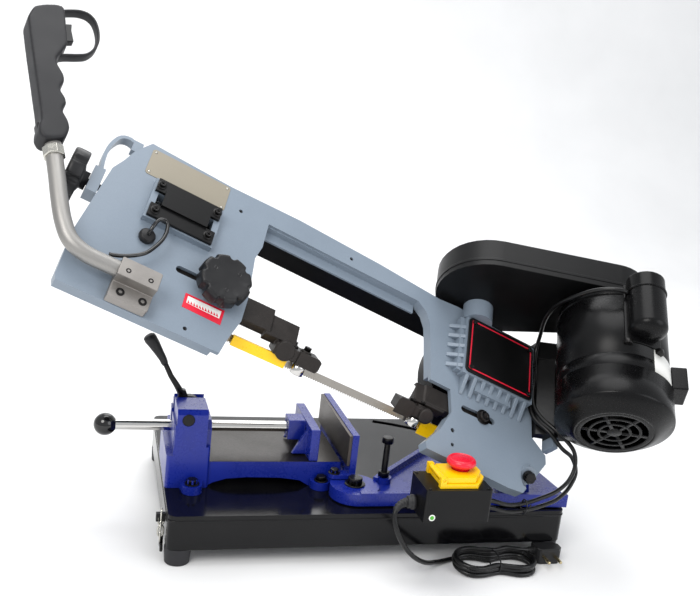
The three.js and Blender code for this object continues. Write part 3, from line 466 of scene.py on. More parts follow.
def piece(shape, name, mat, body, replaces=(), bevel=0.0, segments=2, weighted=True, angle=32):
    me = bpy.data.meshes.new(name)
    me.from_pydata(shape.v, [], shape.q)
    bm = bmesh.new()
    bm.from_mesh(me)
    bmesh.ops.recalc_face_normals(bm, faces=bm.faces)
    bm.to_mesh(me)
    bm.free()
    me.polygons.foreach_set("use_smooth", [True] * len(me.polygons))
    ob = bpy.data.objects.new(name, me)
    bpy.context.collection.objects.link(ob)
    me.materials.append(MAT[mat])
    modify(ob, bevel, segments, angle, weighted)
    if body:
        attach(ob, body)
    if replaces:
        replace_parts(ob, *replaces)
    return ob


def dress(node, mat, bevel=0.6, segments=2, angle=32):
    """A CAD node keeps its shape; it gets its finish, rounded edges and even normals."""
    ob = nodes[node]
    me = ob.data
    me.polygons.foreach_set("use_smooth", [True] * len(me.polygons))
    me.materials.clear()
    me.materials.append(MAT[mat])
    w = ob.modifiers.new("weld", "WELD")
    w.merge_threshold = 1e-5
    d = ob.modifiers.new("flats", "DECIMATE")
    d.decimate_type, d.angle_limit = "DISSOLVE", math.radians(1.2)
    modify(ob, bevel, segments, angle)


def moulded(node, name, mat, body, voxel, rounds, keep=0.0, factor=0.5):
    """A cast or moulded copy of a CAD node, with its edges worn soft, in the node's place."""
    src = nodes[node]
    me = src.data.copy()
    me.name = name
    ob = bpy.data.objects.new(name, me)
    bpy.context.collection.objects.link(ob)
    w = ob.modifiers.new("weld", "WELD")
    w.merge_threshold = 1e-5
    r = ob.modifiers.new("grid", "REMESH")
    r.mode, r.voxel_size = "VOXEL", voxel * 0.001
    s = ob.modifiers.new("soft", "SMOOTH")
    s.factor, s.iterations = factor, rounds
    dg = bpy.context.evaluated_depsgraph_get()
    done = bpy.data.meshes.new_from_object(ob.evaluated_get(dg))
    ob.modifiers.clear()
    ob.data = done
    done.name = name
    if keep:
        d = ob.modifiers.new("thin", "DECIMATE")
        d.ratio = keep
        dg = bpy.context.evaluated_depsgraph_get()
        done = bpy.data.meshes.new_from_object(ob.evaluated_get(dg))
        ob.modifiers.clear()
        ob.data = done
    ob.data.polygons.foreach_set("use_smooth", [True] * len(ob.data.polygons))
    ob.data.materials.clear()
    ob.data.materials.append(MAT[mat])
    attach(ob, body)
    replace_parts(ob, node)
    return ob


# ------------------------------------------------------------------ cords and cables
lead_free = [(325.6, -47, 41), (318, -47.5, 40.5), (308, -50, 36), (302, -55, 25), (306, -61, 6), (318, -62, -16), (337, -57, -37), (362, -43, -55), (388, -23, -66.5), (406, -12.5, -70.4)]


def hank_points():
    """Three turns laid in each other's grooves and pinched by the tie, from the back run at the left."""
    pts = []
    levels = [(26.0, -71.0), (23.5, -65.2), (26.0, -59.4), (23.5, -54.2)]
    xl, xr, yl, yr = 440.0, 512.0, -31.0, -33.0

    def pinch(x, y, mid, k):
        g = math.exp(-((x - 477) / 19) ** 2)
        return mid + (y - mid) * (1 - (0.33 if k % 2 == 0 else 0.27) * g)

    for k in range(4):
        r, z = levels[k]
        if k:
            pts.append((xl - 9, pinch(xl, yl + r * 0.93, -32, k), z - 0.8))
        for x in (448, 460, 470, 477, 484, 494, 506):
            y = yl + r + (yr - yl) * (x - xl) / (xr - xl)
            pts.append((x, pinch(x, y, -32, k), z + 0.5 * math.sin(x * 0.21 + k)))
        if k == 3:
            break
        for a in (60, 30, 0, -30, -60):
            pts.append((xr + r * math.cos(math.radians(a)), yr + r * math.sin(math.radians(a)), z))
        for x in (508, 494, 484, 477, 470, 460, 447):
            y = yl - r + (yr - yl) * (x - xl) / (xr - xl)
            pts.append((x, pinch(x, y, -32, k), z + 0.5 * math.sin(x * 0.17 + 2 * k)))
        r2, z2 = levels[k + 1]
        for j, a in enumerate((-110, -145, 180, 145)):
            f = (j + 0.5) / 4
            rr, zz = r + (r2 - r) * f, z + (z2 - z) * f
            pts.append((xl + rr * math.cos(math.radians(a)), yl + rr * math.sin(math.radians(a)), zz))
    return pts


lead_tail = [(520, -13.2, -54.6), (531, -13.6, -55.6), (540.4, -13.5, -56.4)]
lead_line = even_line(smooth_line(lead_free + [(424, -6.6, -71.0)] + hank_points() + lead_tail, 2.0), 3.0)
lead = piece(Shape(BASE).tube(lead_line, 3.5, 16), "mains_lead", "sheath", None, ["mains_cord", "cord_hank"], weighted=False)
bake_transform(lead)

plug = Shape(BASE)
plug.prism([(550, -4.5), (556, -3), (585, -3), (591, -9), (591, -20), (585, -25.6), (556, -25.6), (550, -21)], -74.4, -49.8)
plug.prism([(553, -24), (588, -24), (584, -26), (557, -26)], -71, -53)
plug_body = piece(plug, "plug_body", "plastic", "root", ["mains_plug"], bevel=1.6, segments=3)
ribs = Shape(BASE)
for k in range(5):
    x = 550.5 - 2.3 * k
    ribs.turned("x", (-13.5, -56.5), [(0, x - 1.5), (6.3 - 0.42 * k, x - 1.5), (6.7 - 0.42 * k, x - 0.8), (6.3 - 0.42 * k, x), (0, x)], 24)
ribs.turned("x", (-13.5, -56.5), [(0, 538.5), (4.0, 538.5), (4.6, 541), (5.2, 551), (0, 551)], 24)
plug_relief = piece(ribs, "plug_strain_relief", "plastic", "root")
pins = Shape(BASE)
for x in (560.5, 579.5):
    pins.turned("y", (x, -62), [(0, -45), (1.6, -45), (2.4, -44.2), (2.4, -25.5), (0, -25.5)], 20)
plug_pins = piece(pins, "plug_pins", "brass", "root")

# tapered sleeve where the lead leaves the switch box
sleeve_line = even_line(smooth_line(lead_free[:5], 1.0), 1.0)[:27]
sleeve_line = [Vector((327.5, -47, 41))] + sleeve_line
radii = [7.2 - 2.9 * (i / (len(sleeve_line) - 1)) ** 0.8 + (0.35 if i % 4 < 2 else -0.25) for i in range(len(sleeve_line))]
piece(Shape(BASE).tube(sleeve_line, radii, 20), "lead_strain_relief", "rubber", "arm", weighted=False)

# the two leads from the switch box to the bow
motor_line = [(430.5, -52, 44), (448, -51, 43), (478, -42, 32), (512, -26, 26), (545, -14, 28), (576, -6, 36), (597, 1, 50), (607, 7, 70)]
motor_bow = [(357, 16, 80), (329, 36, 78), (305, 62, 62), (298, 86, 53.5), (298, 130, 53.5), (298, 168, 54), (296, 190, 60), (286, 199, 80), (266, 200, 114), (252, 197, 152), (250, 191, 192), (262, 187, 236), (282, 185, 258), (296.2, 184, 262)]
control_line = [(430.5, -52, 34), (448, -51, 32.5), (478, -44, 22), (512, -31, 17.5), (545, -19, 18), (580, -4, 22), (606, 11, 34), (619, 21, 54), (611, 25, 76)]
control_bow = [(346, 21, 66), (321, 38, 66), (303, 60, 52), (298, 84, 45.3), (298, 130, 45.3), (298, 168, 45.3), (297.5, 184, 46.5), (293, 191.5, 48), (287, 192.5, 46.5), (284, 192.5, 43.5), (284, 192.5, 40.6)]
for nm, first, second in (("motor_cable", motor_line, motor_bow), ("control_cable", control_line, control_bow)):
    line = [BASE @ Vector(p) for p in first] + [BOW @ Vector(p) for p in second]
    line = even_line(smooth_line([p * 1000 for p in line], 2.0), 3.0)
    sh = Shape(Matrix.Scale(0.001, 4)).tube(line, 3.2, 14)
    ob = piece(sh, nm + "_sheath", "sheath", None, [nm], weighted=False)
    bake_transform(ob)
tie = Shape(BASE)
tie.loop([(512 + 1.2 * b, -28.5 + a * 9.2, 22 + b * 10.6) for a, b in circle(20, 1)], 1.1)
tie.tube([(512, -37, 24), (513, -42, 27), (514, -45, 33)], 1.0, 8)
piece(tie, "cable_tie", "plastic", "arm")
hank_tie = Shape(BASE)
hank_tie.loop([(477 + b, -32 + a * 22.6, -61.8 + b * 11.9) for a, b in circle(28, 1)], 1.1)
piece(hank_tie, "hank_tie", "plastic", "root")

trigger_line = even_line(smooth_line([(-350, 64, 40.6), (-350, 64, 50), (-349, 72, 57), (-344, 86, 60), (-335, 87, 60), (-331, 76, 60), (-331.5, 60, 60), (-337.5, 42, 60), (-347, 25, 60), (-364, 11, 60), (-378, 3.5, 60), (-388, -0.2, 60)], 1.0), 2.0)
piece(Shape(BOW).tube(trigger_line, 2.7, 16), "trigger_lead", "gloss", "bow", ["trigger_cable"], weighted=False)
gland = Shape(BOW)
gland.turned("z", (-350, 64), [(0, 40.2), (10.5, 40.2), (11.5, 41.2), (11.5, 46), (9.5, 48.5), (4, 49.5), (0, 49.5)], 12)
piece(gland, "trigger_gland", "plastic", "bow", bevel=0.4)


# ------------------------------------------------------------------ base and vise
dress("base_pan", "pan", 1.2, 3, 40)
for f in ("foot_front_left", "foot_front_right", "foot_back_left", "foot_back_right"):
    dress(f, "foot", 1.2, 3)
dress("vise_body", "vise", 1.6, 3, 30)
dress("fixed_jaw", "blue", 1.4, 3, 30)
dress("fixed_jaw_plate", "jaw", 0.4)
dress("moving_jaw", "blue", 1.4, 3, 30)
dress("vise_rod", "chrome", 1.0)
dress("cam_pin", "screw", 0.8)
dress("swivel_arm", "blue", 1.4, 3, 30)
dress("swivel_bolt", "screw", 0.6)
dress("pivot_pin", "screw", 0.5)

knob = Shape(BASE)
prof = [(16.6 * math.sin(math.radians(a)), -86 - 16.6 * math.cos(math.radians(a))) for a in range(0, 151, 6)] + [(8.0, -70.4), (0, -70.4)]
prof[0] = (0, prof[0][1])
knob.turned("x", (156, 72), prof, 56)
piece(knob, "ball_knob_gloss", "gloss", "vise_slide", ["ball_knob"], weighted=False)

# quick-clamp lever: steel stem and a swollen plastic end
lev = Shape(BASE)
lev.tube([(22, 156, 121), (14, 156, 134), (4, 156, 149), (-4, 156, 165), (-8, 156, 172)], [5.6, 4.6, 4.0, 3.8, 3.6], 20)
piece(lev, "lever_stem", "screw", "clamp_lever", ["cam_lever"], weighted=False)
end = Shape(BASE)
end.tube([(-5, 156, 166), (-6.5, 156, 169), (-9, 156, 174.5), (-15, 156, 184), (-22, 156, 195), (-28.5, 156, 204), (-31.5, 156, 208.4), (-32.6, 156, 210)], [4.2, 5.2, 5.6, 6.6, 8.2, 9.5, 8.8, 6.0], 28)
piece(end, "lever_end", "plastic", "clamp_lever", weighted=False)
hub = Shape(BASE)
hub.turned("y", (28 + 5.93, 104 - 0.94), [(6.4, 149.6), (16.2, 149.6), (17, 150.4), (17, 161.6), (16.2, 162.4), (6.4, 162.4), (6.4, 149.6)], 44)
hub.prism([(16, 112), (34, 112), (27, 128), (17, 130)], 151, 161, "y")
piece(hub, "lever_hub", "screw", "clamp_lever", bevel=0.5)

bead = Shape(BASE)
ring = []
for cx, cy, a0 in ((588, 375, 0), (12, 375, 90), (12, 12, 180), (588, 12, 270)):
    for k in range(9):
        a = math.radians(a0 + 90 * k / 8)
        ring.append((cx + 12.1 * math.cos(a), cy + 12.1 * math.sin(a)))
seg = 10
bv, bf = [], []
for i, (x, y) in enumerate(ring):
    px, py = ring[i - 1]
    qx, qy = ring[(i + 1) % len(ring)]
    out = Vector((qy - py, px - qx, 0)).normalized()
    bv += [Vector((x, y, -7.5)) + out * (0.95 * a) + Vector((0, 0, 1.5 * b)) for a, b in circle(seg, 1)]
for i in range(len(ring)):
    j = (i + 1) % len(ring)
    bf += [[i * seg + k, i * seg + (k + 1) % seg, j * seg + (k + 1) % seg, j * seg + k] for k in range(seg)]
piece(bead.put(bv, bf), "pan_bead", "pan", "root", weighted=False)

# bolts and washers that hold the vise, jaw and arm
hold = Shape(BASE)
for x, y, z in ((38, 78, 12.2), (232, 88, 12.2)):
    hold.turned("z", (x, y), [(0, z), (10.5, z), (10.5, z + 1.6), (0, z + 1.6)], 28)
    hold.hexhead("z", (x, y), 8.3, z + 1.6, z + 8)
hold.turned("z", (249, 80), [(0, 28.2), (9, 28.2), (9, 29.6), (0, 29.6)], 28)
hold.hexhead("z", (249, 80), 7, 29.6, 35)
piece(hold, "vise_bolts", "screw", "root")
nose = Shape(BASE)
nose.turned("z", (276, 57), [(8.3, 20.1), (15.5, 20.1), (15.5, 22), (8.3, 22), (8.3, 20.1)], 32)
nose.hexhead("z", (276, 57), 11.5, 22, 31.5)
piece(nose, "swivel_bolt_head", "screw", "root")

# depth-stop screw with its thread
stop = Shape(BASE)
thread = []
for i in range(28):
    thread += [(4.3, 34 + i * 1.6), (5.0, 34.8 + i * 1.6)]
stop.turned("z", (326, 75), [(0, 12), (5, 12), (5, 34)] + thread + [(4.9, 79), (0, 79)], 20)
stop.hexhead("z", (326, 75), 9.2, 25.4, 33)
stop.hexhead("z", (326, 75), 9.2, 79, 87.8)
piece(stop, "stop_screw_thread", "screw", "arm", ["stop_screw"])

# transport chain on the left skirt
chain = Shape(BASE)
for k in range(5):
    z = -9 - 8.2 * k
    pts = []
    for a, b in circle(20, 1):
        stretch_b = 6.3 * b + (1.8 if b > 0 else -1.8 if b < 0 else 0)
        pts.append((-6.4 + (3.9 * a if k % 2 else 0.5 * a), 27 + (0.5 * a if k % 2 else 4.0 * a) + 0.9 * math.sin(k * 1.7), z + stretch_b))
    chain.loop(pts, 1.45, 10)
piece(chain, "chain_links", "zinc", "root", ["hold_down_chain"])
hook = Shape(BASE)
hook.tube([(-4.2, 30, -42), (-4.2, 30, -49), (-4.2, 30, -55)], 2.6, 14)
for sgn in (-1, 1):
    hook.turned("x", (30 + sgn * 8, -56.5), [(0, -6.4), (5.2, -6.4), (5.8, -5.6), (5.8, -3.2), (5.2, -2.4), (0, -2.4)], 24)
hook.box(-6.2, -2.4, 22, 38, -60, -53)
hook.box(-13.6, -0.4, 26, 34, -20, -8.5)
piece(hook, "chain_hook", "black", "root", bevel=0.6)


# ------------------------------------------------------------------ switch box and stop switch
dress("switch_box", "switch", 2.0, 3, 40)
dress("switch_frame", "yellow", 0.7, 3)
dress("stop_flap", "yellow", 1.0, 3)
mush = Shape(BASE)
z1 = 75.4
mush.turned("z", (395, -44), [(0, z1 + 10.6), (12.9, z1 + 10.6), (12.9, z1 + 19.4), (16, z1 + 20), (19.2, z1 + 20.6), (20.6, z1 + 22.4), (21, z1 + 25), (20.4, z1 + 27.4), (19.2, z1 + 29.0), (17.4, z1 + 30.4), (16.2, z1 + 30.5), (15.2, z1 + 29.2), (13.9, z1 + 29.4), (8, z1 + 31.0), (0, z1 + 31.6)], 64)
piece(mush, "stop_button", "red", "mushroom", ["stop_mushroom"], weighted=False)
box_bits = Shape(BASE)
box_bits.turned("x", (-47, 41), [(0, 320.6), (7.2, 320.6), (8.8, 322), (8.8, 326.4), (10.6, 327), (10.6, 331), (9, 333.2), (0, 333.2)], 28)
for yy, zz in ((-52, 44), (-52, 34)):
    box_bits.turned("x", (yy, zz), [(0, 429), (5.4, 429), (5.4, 432.5), (4.2, 437), (3.5, 444), (0, 444)], 20)
piece(box_bits, "cable_glands", "rubber", "arm")
lid = Shape(BASE)
for x, y in ((338.5, -80.5), (424.5, -80.5), (338.5, -26), (424.5, -26)):
    lid.socket("z", (x, y), 2.4, 75.2, 76.4, 16)
piece(lid, "lid_screws", "screw", "arm")
dot = Shape(BASE)
dot.turned("y", (344.5, 36), [(0, -86.35), (4.6, -86.35), (4.6, -85.9), (0, -85.9)], 32)
piece(dot, "round_sticker", "white", "arm")
dot = Shape(BASE)
dot.turned("y", (344.5, 36), [(0, -86.55), (2.9, -86.55), (2.9, -86.3), (0, -86.3)], 32)
piece(dot, "round_sticker_dot", "green", "arm")


# ------------------------------------------------------------------ bow casting, covers, wheels
dress("bow_casting", "casting", 1.3, 3, 34)
dress("rear_cover", "black", 1.2, 3, 40)
dress("idler_wheel", "steel", 0.5)
dress("drive_wheel", "steel", 0.5)
dress("idler_slide", "dark", 0.5)
dress("slide_rail_lower", "black", 1.0, 3)
dress("slide_rail_upper", "black", 1.0, 3)
dress("worm_gear", "bronze", 0.5)
dress("worm_shaft", "steel", 0.4)
dress("belt", "rubber", 0.8)
dress("motor_shaft", "screw", 0.4)
dress("gearbox_cover", "black", 1.0, 3)

# bandsaw blade: the CAD loop drawn finer, with teeth cut in its lower edge and set left and right
RW = 95.8
turns = [(204, 0), (180, 0.08), (150, 0.4), (125, 0.75), (100, math.pi / 4), (-190, math.pi / 4), (-215, 0.75), (-240, 0.4), (-270, 0.08), (-294, 0)]


def twist(u):
    if u >= 204 or u <= -294:
        return 0.0
    for (a, ta), (b, tb) in zip(turns, turns[1:]):
        if b <= u <= a:
            f = (a - u) / (a - b)
            return ta + (tb - ta) * f
    return 0.0


half = math.pi * RW
run = 540.0
total = 2 * half + 2 * run
count = 1320
bv, bf = [], []
for i in range(count):
    d = total * i / count
    if d < half:
        a = math.pi / 2 - d / RW
        cu, cs, du, ds, tw = 222 + RW * math.cos(a), 95 + RW * math.sin(a), math.cos(a), math.sin(a), 0.0
    elif d < half + run:
        u = 222 - (d - half)
        cu, cs, du, ds, tw = u, 95 - RW, 0.0, -1.0, twist(u)
    elif d < 2 * half + run:
        a = -math.pi / 2 - (d - half - run) / RW
        cu, cs, du, ds, tw = -318 + RW * math.cos(a), 95 + RW * math.sin(a), math.cos(a), math.sin(a), 0.0
    else:
        cu, cs, du, ds, tw = -318 + (d - 2 * half - run), 95 + RW, 0.0, 1.0, 0.0
    c, q = math.cos(tw), math.sin(tw)
    wd, nd, o = Vector((-q * du, -q * ds, c)), Vector((c * du, c * ds, q)), Vector((cu, cs, 0))
    tooth = (0.0, 2.3, 1.15)[i % 3]
    side = (0.0, 0.22, -0.22)[(i // 3) % 3] if tooth == 0 else 0.0
    for x, y in ((-6.35 + tooth, -0.45 + side), (-4.4, -0.45), (6.35, -0.45), (6.35, 0.45), (-4.4, 0.45), (-6.35 + tooth, 0.45 + side)):
        bv.append(o + wd * x + nd * y)
for i in range(count):
    j = (i + 1) % count
    bf += [[i * 6 + k, i * 6 + (k + 1) % 6, j * 6 + (k + 1) % 6, j * 6 + k] for k in range(6)]
saw = piece(Shape(BOW).put(bv, bf), "saw_blade", "blade", "bow", ["blade"], weighted=False)
saw.data.polygons.foreach_set("use_smooth", [False] * len(saw.data.polygons))

# cooling fins cast on the gearbox
fins = Shape(BOW)
for s in (92, 110, 128, 146, 164):
    fins.prism([(135, 39.5), (161, 39.5), (161, 56.8), (157, 56), (136, 42)], s - 3.4, s + 3.4, "y")
for k in range(8):
    u = 168 + 16 * k
    fins.prism([(51, 39.5), (82, 39.5), (82, 56.8), (78, 56), (52, 42)], u - 3.2, u + 3.2, "x")
piece(fins, "gearbox_fins", "casting", "bow", bevel=0.9, segments=2)
edge = Shape(BOW)
for x0, x1, y0, y1 in ((167, 283, 88.4, 90.6), (167, 283, 176.4, 178.6), (166, 168.2, 90, 177), (281.8, 284, 90, 177)):
    edge.box(x0, x1, y0, y1, 60.3, 60.8)
piece(edge, "gearbox_border", "redline", "bow")

# bare rating plate with its four pins
plate = Shape(BOW).prism([(-384, 168), (-381, 165), (-265, 165), (-262, 168), (-262, 209), (-265, 212), (-381, 212), (-384, 209)], 39.9, 40.8)
piece(plate, "bare_plate", "beige", "bow", bevel=0.25)
pins2 = Shape(BOW)
for u, s in ((-379, 170), (-267, 170), (-379, 207), (-267, 207)):
    pins2.turned("z", (u, s), [(0, 40.5), (2.1, 40.5), (1.7, 41.6), (0, 42)], 16)
piece(pins2, "plate_pins", "zinc", "bow")
patch = Shape(BOW).prism([(-276, -13), (-219.5, -15), (-219, 9), (-276.5, 9.5)], 39.9, 40.35)
piece(patch, "red_sticker", "redline", "bow")
patch = Shape(BOW).prism([(-272, -4.6), (-223.5, -6.2), (-223, 6), (-272.4, 6.4)], 40.2, 40.55)
piece(patch, "sticker_panel", "white", "bow")
marks = Shape(BOW)
for k in range(11):
    u = -270.5 + 4.2 * k
    marks.prism([(u, -4.3 - 0.03 * k * 1.2), (u + 3.4, -4.3 - 0.03 * k * 1.2), (u, 0.4)], 40.5, 40.75)
piece(marks, "sticker_teeth", "redline", "bow")

# screws in the clamp, the slide rails and the gearbox cover
heads = Shape(BOW)
for u, s, n, r in ((-360, -20, 74.2, 3.8), (-330, -20, 74.2, 3.8), (-358, -42, 56.3, 5.6), (-328, -42, 56.3, 5.6)):
    heads.socket("z", (u, s), r, n - 2, n + 0.8 if r > 4 else n + 0.1)
for u, s in ((-354, 101), (-276, 101), (-357, 145.5), (-273, 145.5)):
    heads.turned("z", (u, s), [(0, 54.6), (6.6, 54.6), (6.6, 55.9), (0, 55.9)], 24)
    heads.socket("z", (u, s), 4.6, 55.5, 60.2)
for u, s in ((170, 92), (280, 92), (170, 175), (280, 175)):
    heads.socket("z", (u, s), 3.6, 60.2, 63.6)
for u, s in ((161, -14), (163, -37), (-263, -42), (-237.5, 181), (-51, 196)):
    heads.socket("z", (u, s), 2.7, 36.5, 38.6, 18)
piece(heads, "bow_screws", "screw", "bow")
dress("handle_clamp", "block", 0.8, 3)


# ------------------------------------------------------------------ hand knobs
def lobed(shape, axis, c, lo, hi, r, step, holes=True, seg=160):
    """A hand knob with eight lobes; hi is its outer face, and step the height of its rounding."""
    sgn = 1 if hi > lo else -1

    def outline(k, scale, soft=1.0):
        a = 2 * math.pi * k / seg
        m = (a * 8 / (2 * math.pi)) % 1.0
        x = min(m, 1 - m)
        notch = max(0.0, 1 - (x / 0.17) ** 2) ** 0.5
        rr = (r - 4.6 * soft * notch) * scale
        return rr * math.cos(a), rr * math.sin(a)

    rows = [(0.80, lo, 0.6), (0.97, lo, 1), (1.0, lo + sgn * step * 0.5, 1), (1.0, hi - sgn * step * 1.5, 1), (0.985, hi - sgn * step * 0.7, 1), (0.95, hi - sgn * step * 0.2, 1), (0.90, hi, 1), (0.84, hi, 0.7), (0.74, hi - sgn * 0.5, 0.3), (0.40, hi - sgn * 1.0, 0)]
    v, f = [], []
    for scale, h, soft in rows:
        v += [shape.lift(axis, c[0] + x, c[1] + y, h) for x, y in (outline(k, scale, soft) for k in range(seg))]
    for j in range(len(rows) - 1):
        f += [[j * seg + k, j * seg + (k + 1) % seg, (j + 1) * seg + (k + 1) % seg, (j + 1) * seg + k] for k in range(seg)]
    f += [list(range(seg))[::-1], [(len(rows) - 1) * seg + k for k in range(seg)]]
    shape.put(v, f)


kn = Shape(BOW)
lobed(kn, "z", (-236, 40), 49, 70, 37.2, 4.0)
kn.turned("z", (-236, 40), [(0, 40.5), (13.6, 40.5), (13.6, 47), (22, 50), (0, 50)], 40)
ob = piece(kn, "guide_hand_knob", "plastic", "guide_knob_body", ["guide_knob"], weighted=False)
dots = Shape(BOW)
for k in range(3):
    a = math.radians(40 + 120 * k)
    dots.turned("z", (-236 + 20 * math.cos(a), 40 + 20 * math.sin(a)), [(0, 69.0), (2.9, 69.0), (2.7, 69.6), (2.2, 69.62), (2.0, 69.1), (0, 69.1)], 20)
piece(dots, "guide_knob_dimples", "gloss", "guide_knob_body", weighted=False)
kn = Shape(BOW)
lobed(kn, "x", (118, 24), -457, -478, 37.6, 4.0)
kn.turned("x", (118, 24), [(0, -457.4), (22, -457.4), (12.8, -454), (12.8, -447.2), (0, -447.2)], 40)
kn.turned("x", (118, 24), [(0, -448), (4.9, -448), (4.9, -347), (0, -347)], 24)
piece(kn, "tension_hand_knob", "plastic", "tension_knob_body", ["tension_knob"], weighted=False)


# ------------------------------------------------------------------ blade guides
moulded("guide_arm", "guide_arm_cast", "dark", "guide", 1.1, 3, keep=0.35)
moulded("right_guide", "right_guide_cast", "dark", "bow", 1.1, 3, keep=0.35)
for nm, body, mid in (("left_roller", "left_roller_body", (-86, 45.4)), ("right_roller", "right_roller_body", (110, 45.4))):
    ro = Shape(CUT)
    ro.turned("z", mid, [(3.5, -6.2), (9.6, -6.2), (10.15, -5.7), (10.15, 6.8), (9.6, 7.4), (8.3, 7.4), (7.9, 6.9), (5.4, 6.9), (5.1, 7.4), (3.5, 7.4), (3.5, -6.2)], 56)
    piece(ro, nm + "_race", "chrome", body, [nm], weighted=False)
dress("left_guard", "guard", 0.6)
dress("right_guard", "guard", 0.6)
gs = Shape(CUT)
for u, y, h in ((-118, 50, 26), (-78, 50, 26), (98, 48, 26), (118, 48, 26)):
    gs.socket("z", (u, y), 4.0, h - 1.4, h + 0.2)
gs2 = Shape(BOW)
gs2.turned("z", (213, 30), [(0, 40.4), (12, 40.4), (12, 42), (0, 42)], 32)
gs2.socket("z", (213, 30), 7.4, 41.5, 47.6)
piece(gs2, "guide_slot_screw", "screw", "bow")
left_s = Shape(CUT)
for u, y in ((-122, 47), (-74, 47)):
    left_s.socket("y", (u, 12), 3.6, 40, 37.6)
left_s.hexhead("z", (-84, 52), 5.5, 29, 35)
left_s.hexhead("z", (-104, 58), 5.5, 29, 34)
piece(left_s, "left_guide_screws", "screw", "guide")
boss = Shape(CUT)
boss.turned("y", (-116.6, 18), [(0, 36.4), (13, 36.4), (14.2, 37.6), (14.2, 71), (13, 72), (0, 72)], 36)
for u, y in ((-84, 52), (-104, 58)):
    boss.turned("z", (u, y), [(0, 24), (8.6, 24), (8.6, 28), (7.6, 29.2), (0, 29.2)], 28)
boss.prism([(-96, 7), (-64, 7), (-61, 12), (-61, 24), (-66, 27.5), (-96, 27.5)], 35.6, 39, "y")
piece(boss, "left_guide_bosses", "dark", "guide", bevel=0.8)
right_s = Shape(CUT)
for u in (84, 118):
    right_s.socket("y", (u, 14), 3.8, 40, 37.4)
right_s.hexhead("z", (112, 50), 5.5, 28, 34)
right_s.hexhead("z", (94, 44), 5.0, 28, 32.5)
piece(right_s, "right_guide_screws", "screw", "bow")
boss = Shape(CUT)
boss.turned("y", (121, 17), [(0, 33.6), (9.6, 33.6), (11.6, 35), (11.6, 40), (0, 40)], 36)
for u, y in ((112, 50), (94, 44)):
    boss.turned("z", (u, y), [(0, 24), (8.4, 24), (8.4, 27), (7.4, 28.2), (0, 28.2)], 28)
boss.prism([(70, 4), (96, 4), (99, 9), (99, 24), (94, 29), (74, 29), (70, 25)], 35.6, 39, "y")
piece(boss, "right_guide_bosses", "dark", "bow", bevel=0.8)


# ------------------------------------------------------------------ bent handle and grip
handle_line = even_line(smooth_line([(-323, -15, 60), (-352, -15, 60), (-385, -15, 60), (-415, -14, 60), (-437, -5, 60), (-454, 16, 60), (-470, 46, 60), (-485, 78, 60), (-501.8, 111.9, 60), (-519.4, 147.1, 60)], 3), 4)
piece(Shape(BOW).tube(handle_line, 10.9, 32), "bent_handle", "tube", "bow", ["handle_tube"], weighted=False)
col = Shape(BOW)
col.tube([(-496.6, 101.6, 60), (-497.2, 102.8, 60), (-502.6, 113.6, 60), (-503.2, 114.8, 60)], [13.2, 14.4, 14.4, 13.2], 8)
piece(col, "handle_collar", "zinc", "bow", bevel=0.4)
outline = [(-607.4, 315.1), (-608.2, 303), (-607.6, 291.2), (-593.5, 262), (-579.2, 233.4), (-565, 205.5), (-551.4, 178.3), (-540, 156), (-531.4, 136.4), (-531.5, 130.2), (-528, 119), (-521, 112.6), (-514, 112.6), (-505, 118.6), (-496.4, 126.2), (-494.6, 134.3), (-495.8, 146), (-501.8, 156.2), (-512.3, 165.5), (-513.8, 172.5), (-512.8, 181.5), (-517.2, 189), (-526.6, 197.0), (-528.8, 204), (-527.8, 214.5), (-531.8, 224.5), (-545.2, 236.5), (-550.5, 246), (-548.9, 257), (-546.5, 280.1), (-559, 309.3), (-571.5, 338.5), (-577, 341.4), (-586, 337.5), (-598, 327)]
soft = Shape(BOW)
soft.prism(outline, 43.4, 76.6)
me = bpy.data.meshes.new("grip_blank")
me.from_pydata(soft.v, [], soft.q)
blank = bpy.data.objects.new("grip_blank", me)
bpy.context.collection.objects.link(blank)
r = blank.modifiers.new("grid", "REMESH")
r.mode, r.voxel_size = "VOXEL", 0.0013
s = blank.modifiers.new("soft", "SMOOTH")
s.factor, s.iterations = 0.5, 46
d = blank.modifiers.new("thin", "DECIMATE")
d.ratio = 0.4
bpy.context.view_layer.update()
gm = bpy.data.meshes.new_from_object(blank.evaluated_get(bpy.context.evaluated_depsgraph_get()))
bpy.data.objects.remove(blank)
gm.name = "handle_grip_moulded"
gm.polygons.foreach_set("use_smooth", [True] * len(gm.polygons))
gm.materials.clear()
gm.materials.append(MAT["grip"])
grip = bpy.data.objects.new("handle_grip_moulded", gm)
bpy.context.collection.objects.link(grip)
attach(grip, "bow")
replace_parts(grip, "handle_grip")
hoop_line = even_line(smooth_line([(-553, 258, 60), (-543.5, 268, 60), (-530, 278.6, 60), (-519.6, 288.6, 60), (-514.2, 302.5, 60), (-513.6, 314, 60), (-515, 327, 60), (-521.8, 344.5, 60), (-532.5, 358.6, 60), (-542, 362.6, 60), (-553, 360.2, 60), (-566, 350.6, 60), (-577, 339.6, 60)], 1.5), 2.0)
hoop = Shape(BOW)
hv, hf, hs = [], [], 20
for i, q in enumerate(hoop_line):
    tg = (hoop_line[min(i + 1, len(hoop_line) - 1)] - hoop_line[max(i - 1, 0)]).normalized()
    across = Vector((tg.y, -tg.x, 0))
    for x, y in circle(hs, 1):
        hv.append(q + across * 2.3 * math.copysign(abs(x) ** 0.7, x) + Vector((0, 0, 7.6 * math.copysign(abs(y) ** 0.55, y))))
for i in range(len(hoop_line) - 1):
    hf += [[i * hs + k, i * hs + (k + 1) % hs, (i + 1) * hs + (k + 1) % hs, (i + 1) * hs + k] for k in range(hs)]
hf += [list(range(hs))[::-1], [(len(hoop_line) - 1) * hs + k for k in range(hs)]]
piece(hoop.put(hv, hf), "finger_guard_hoop", "grip", "bow", weighted=False)
lock = Shape(BOW)
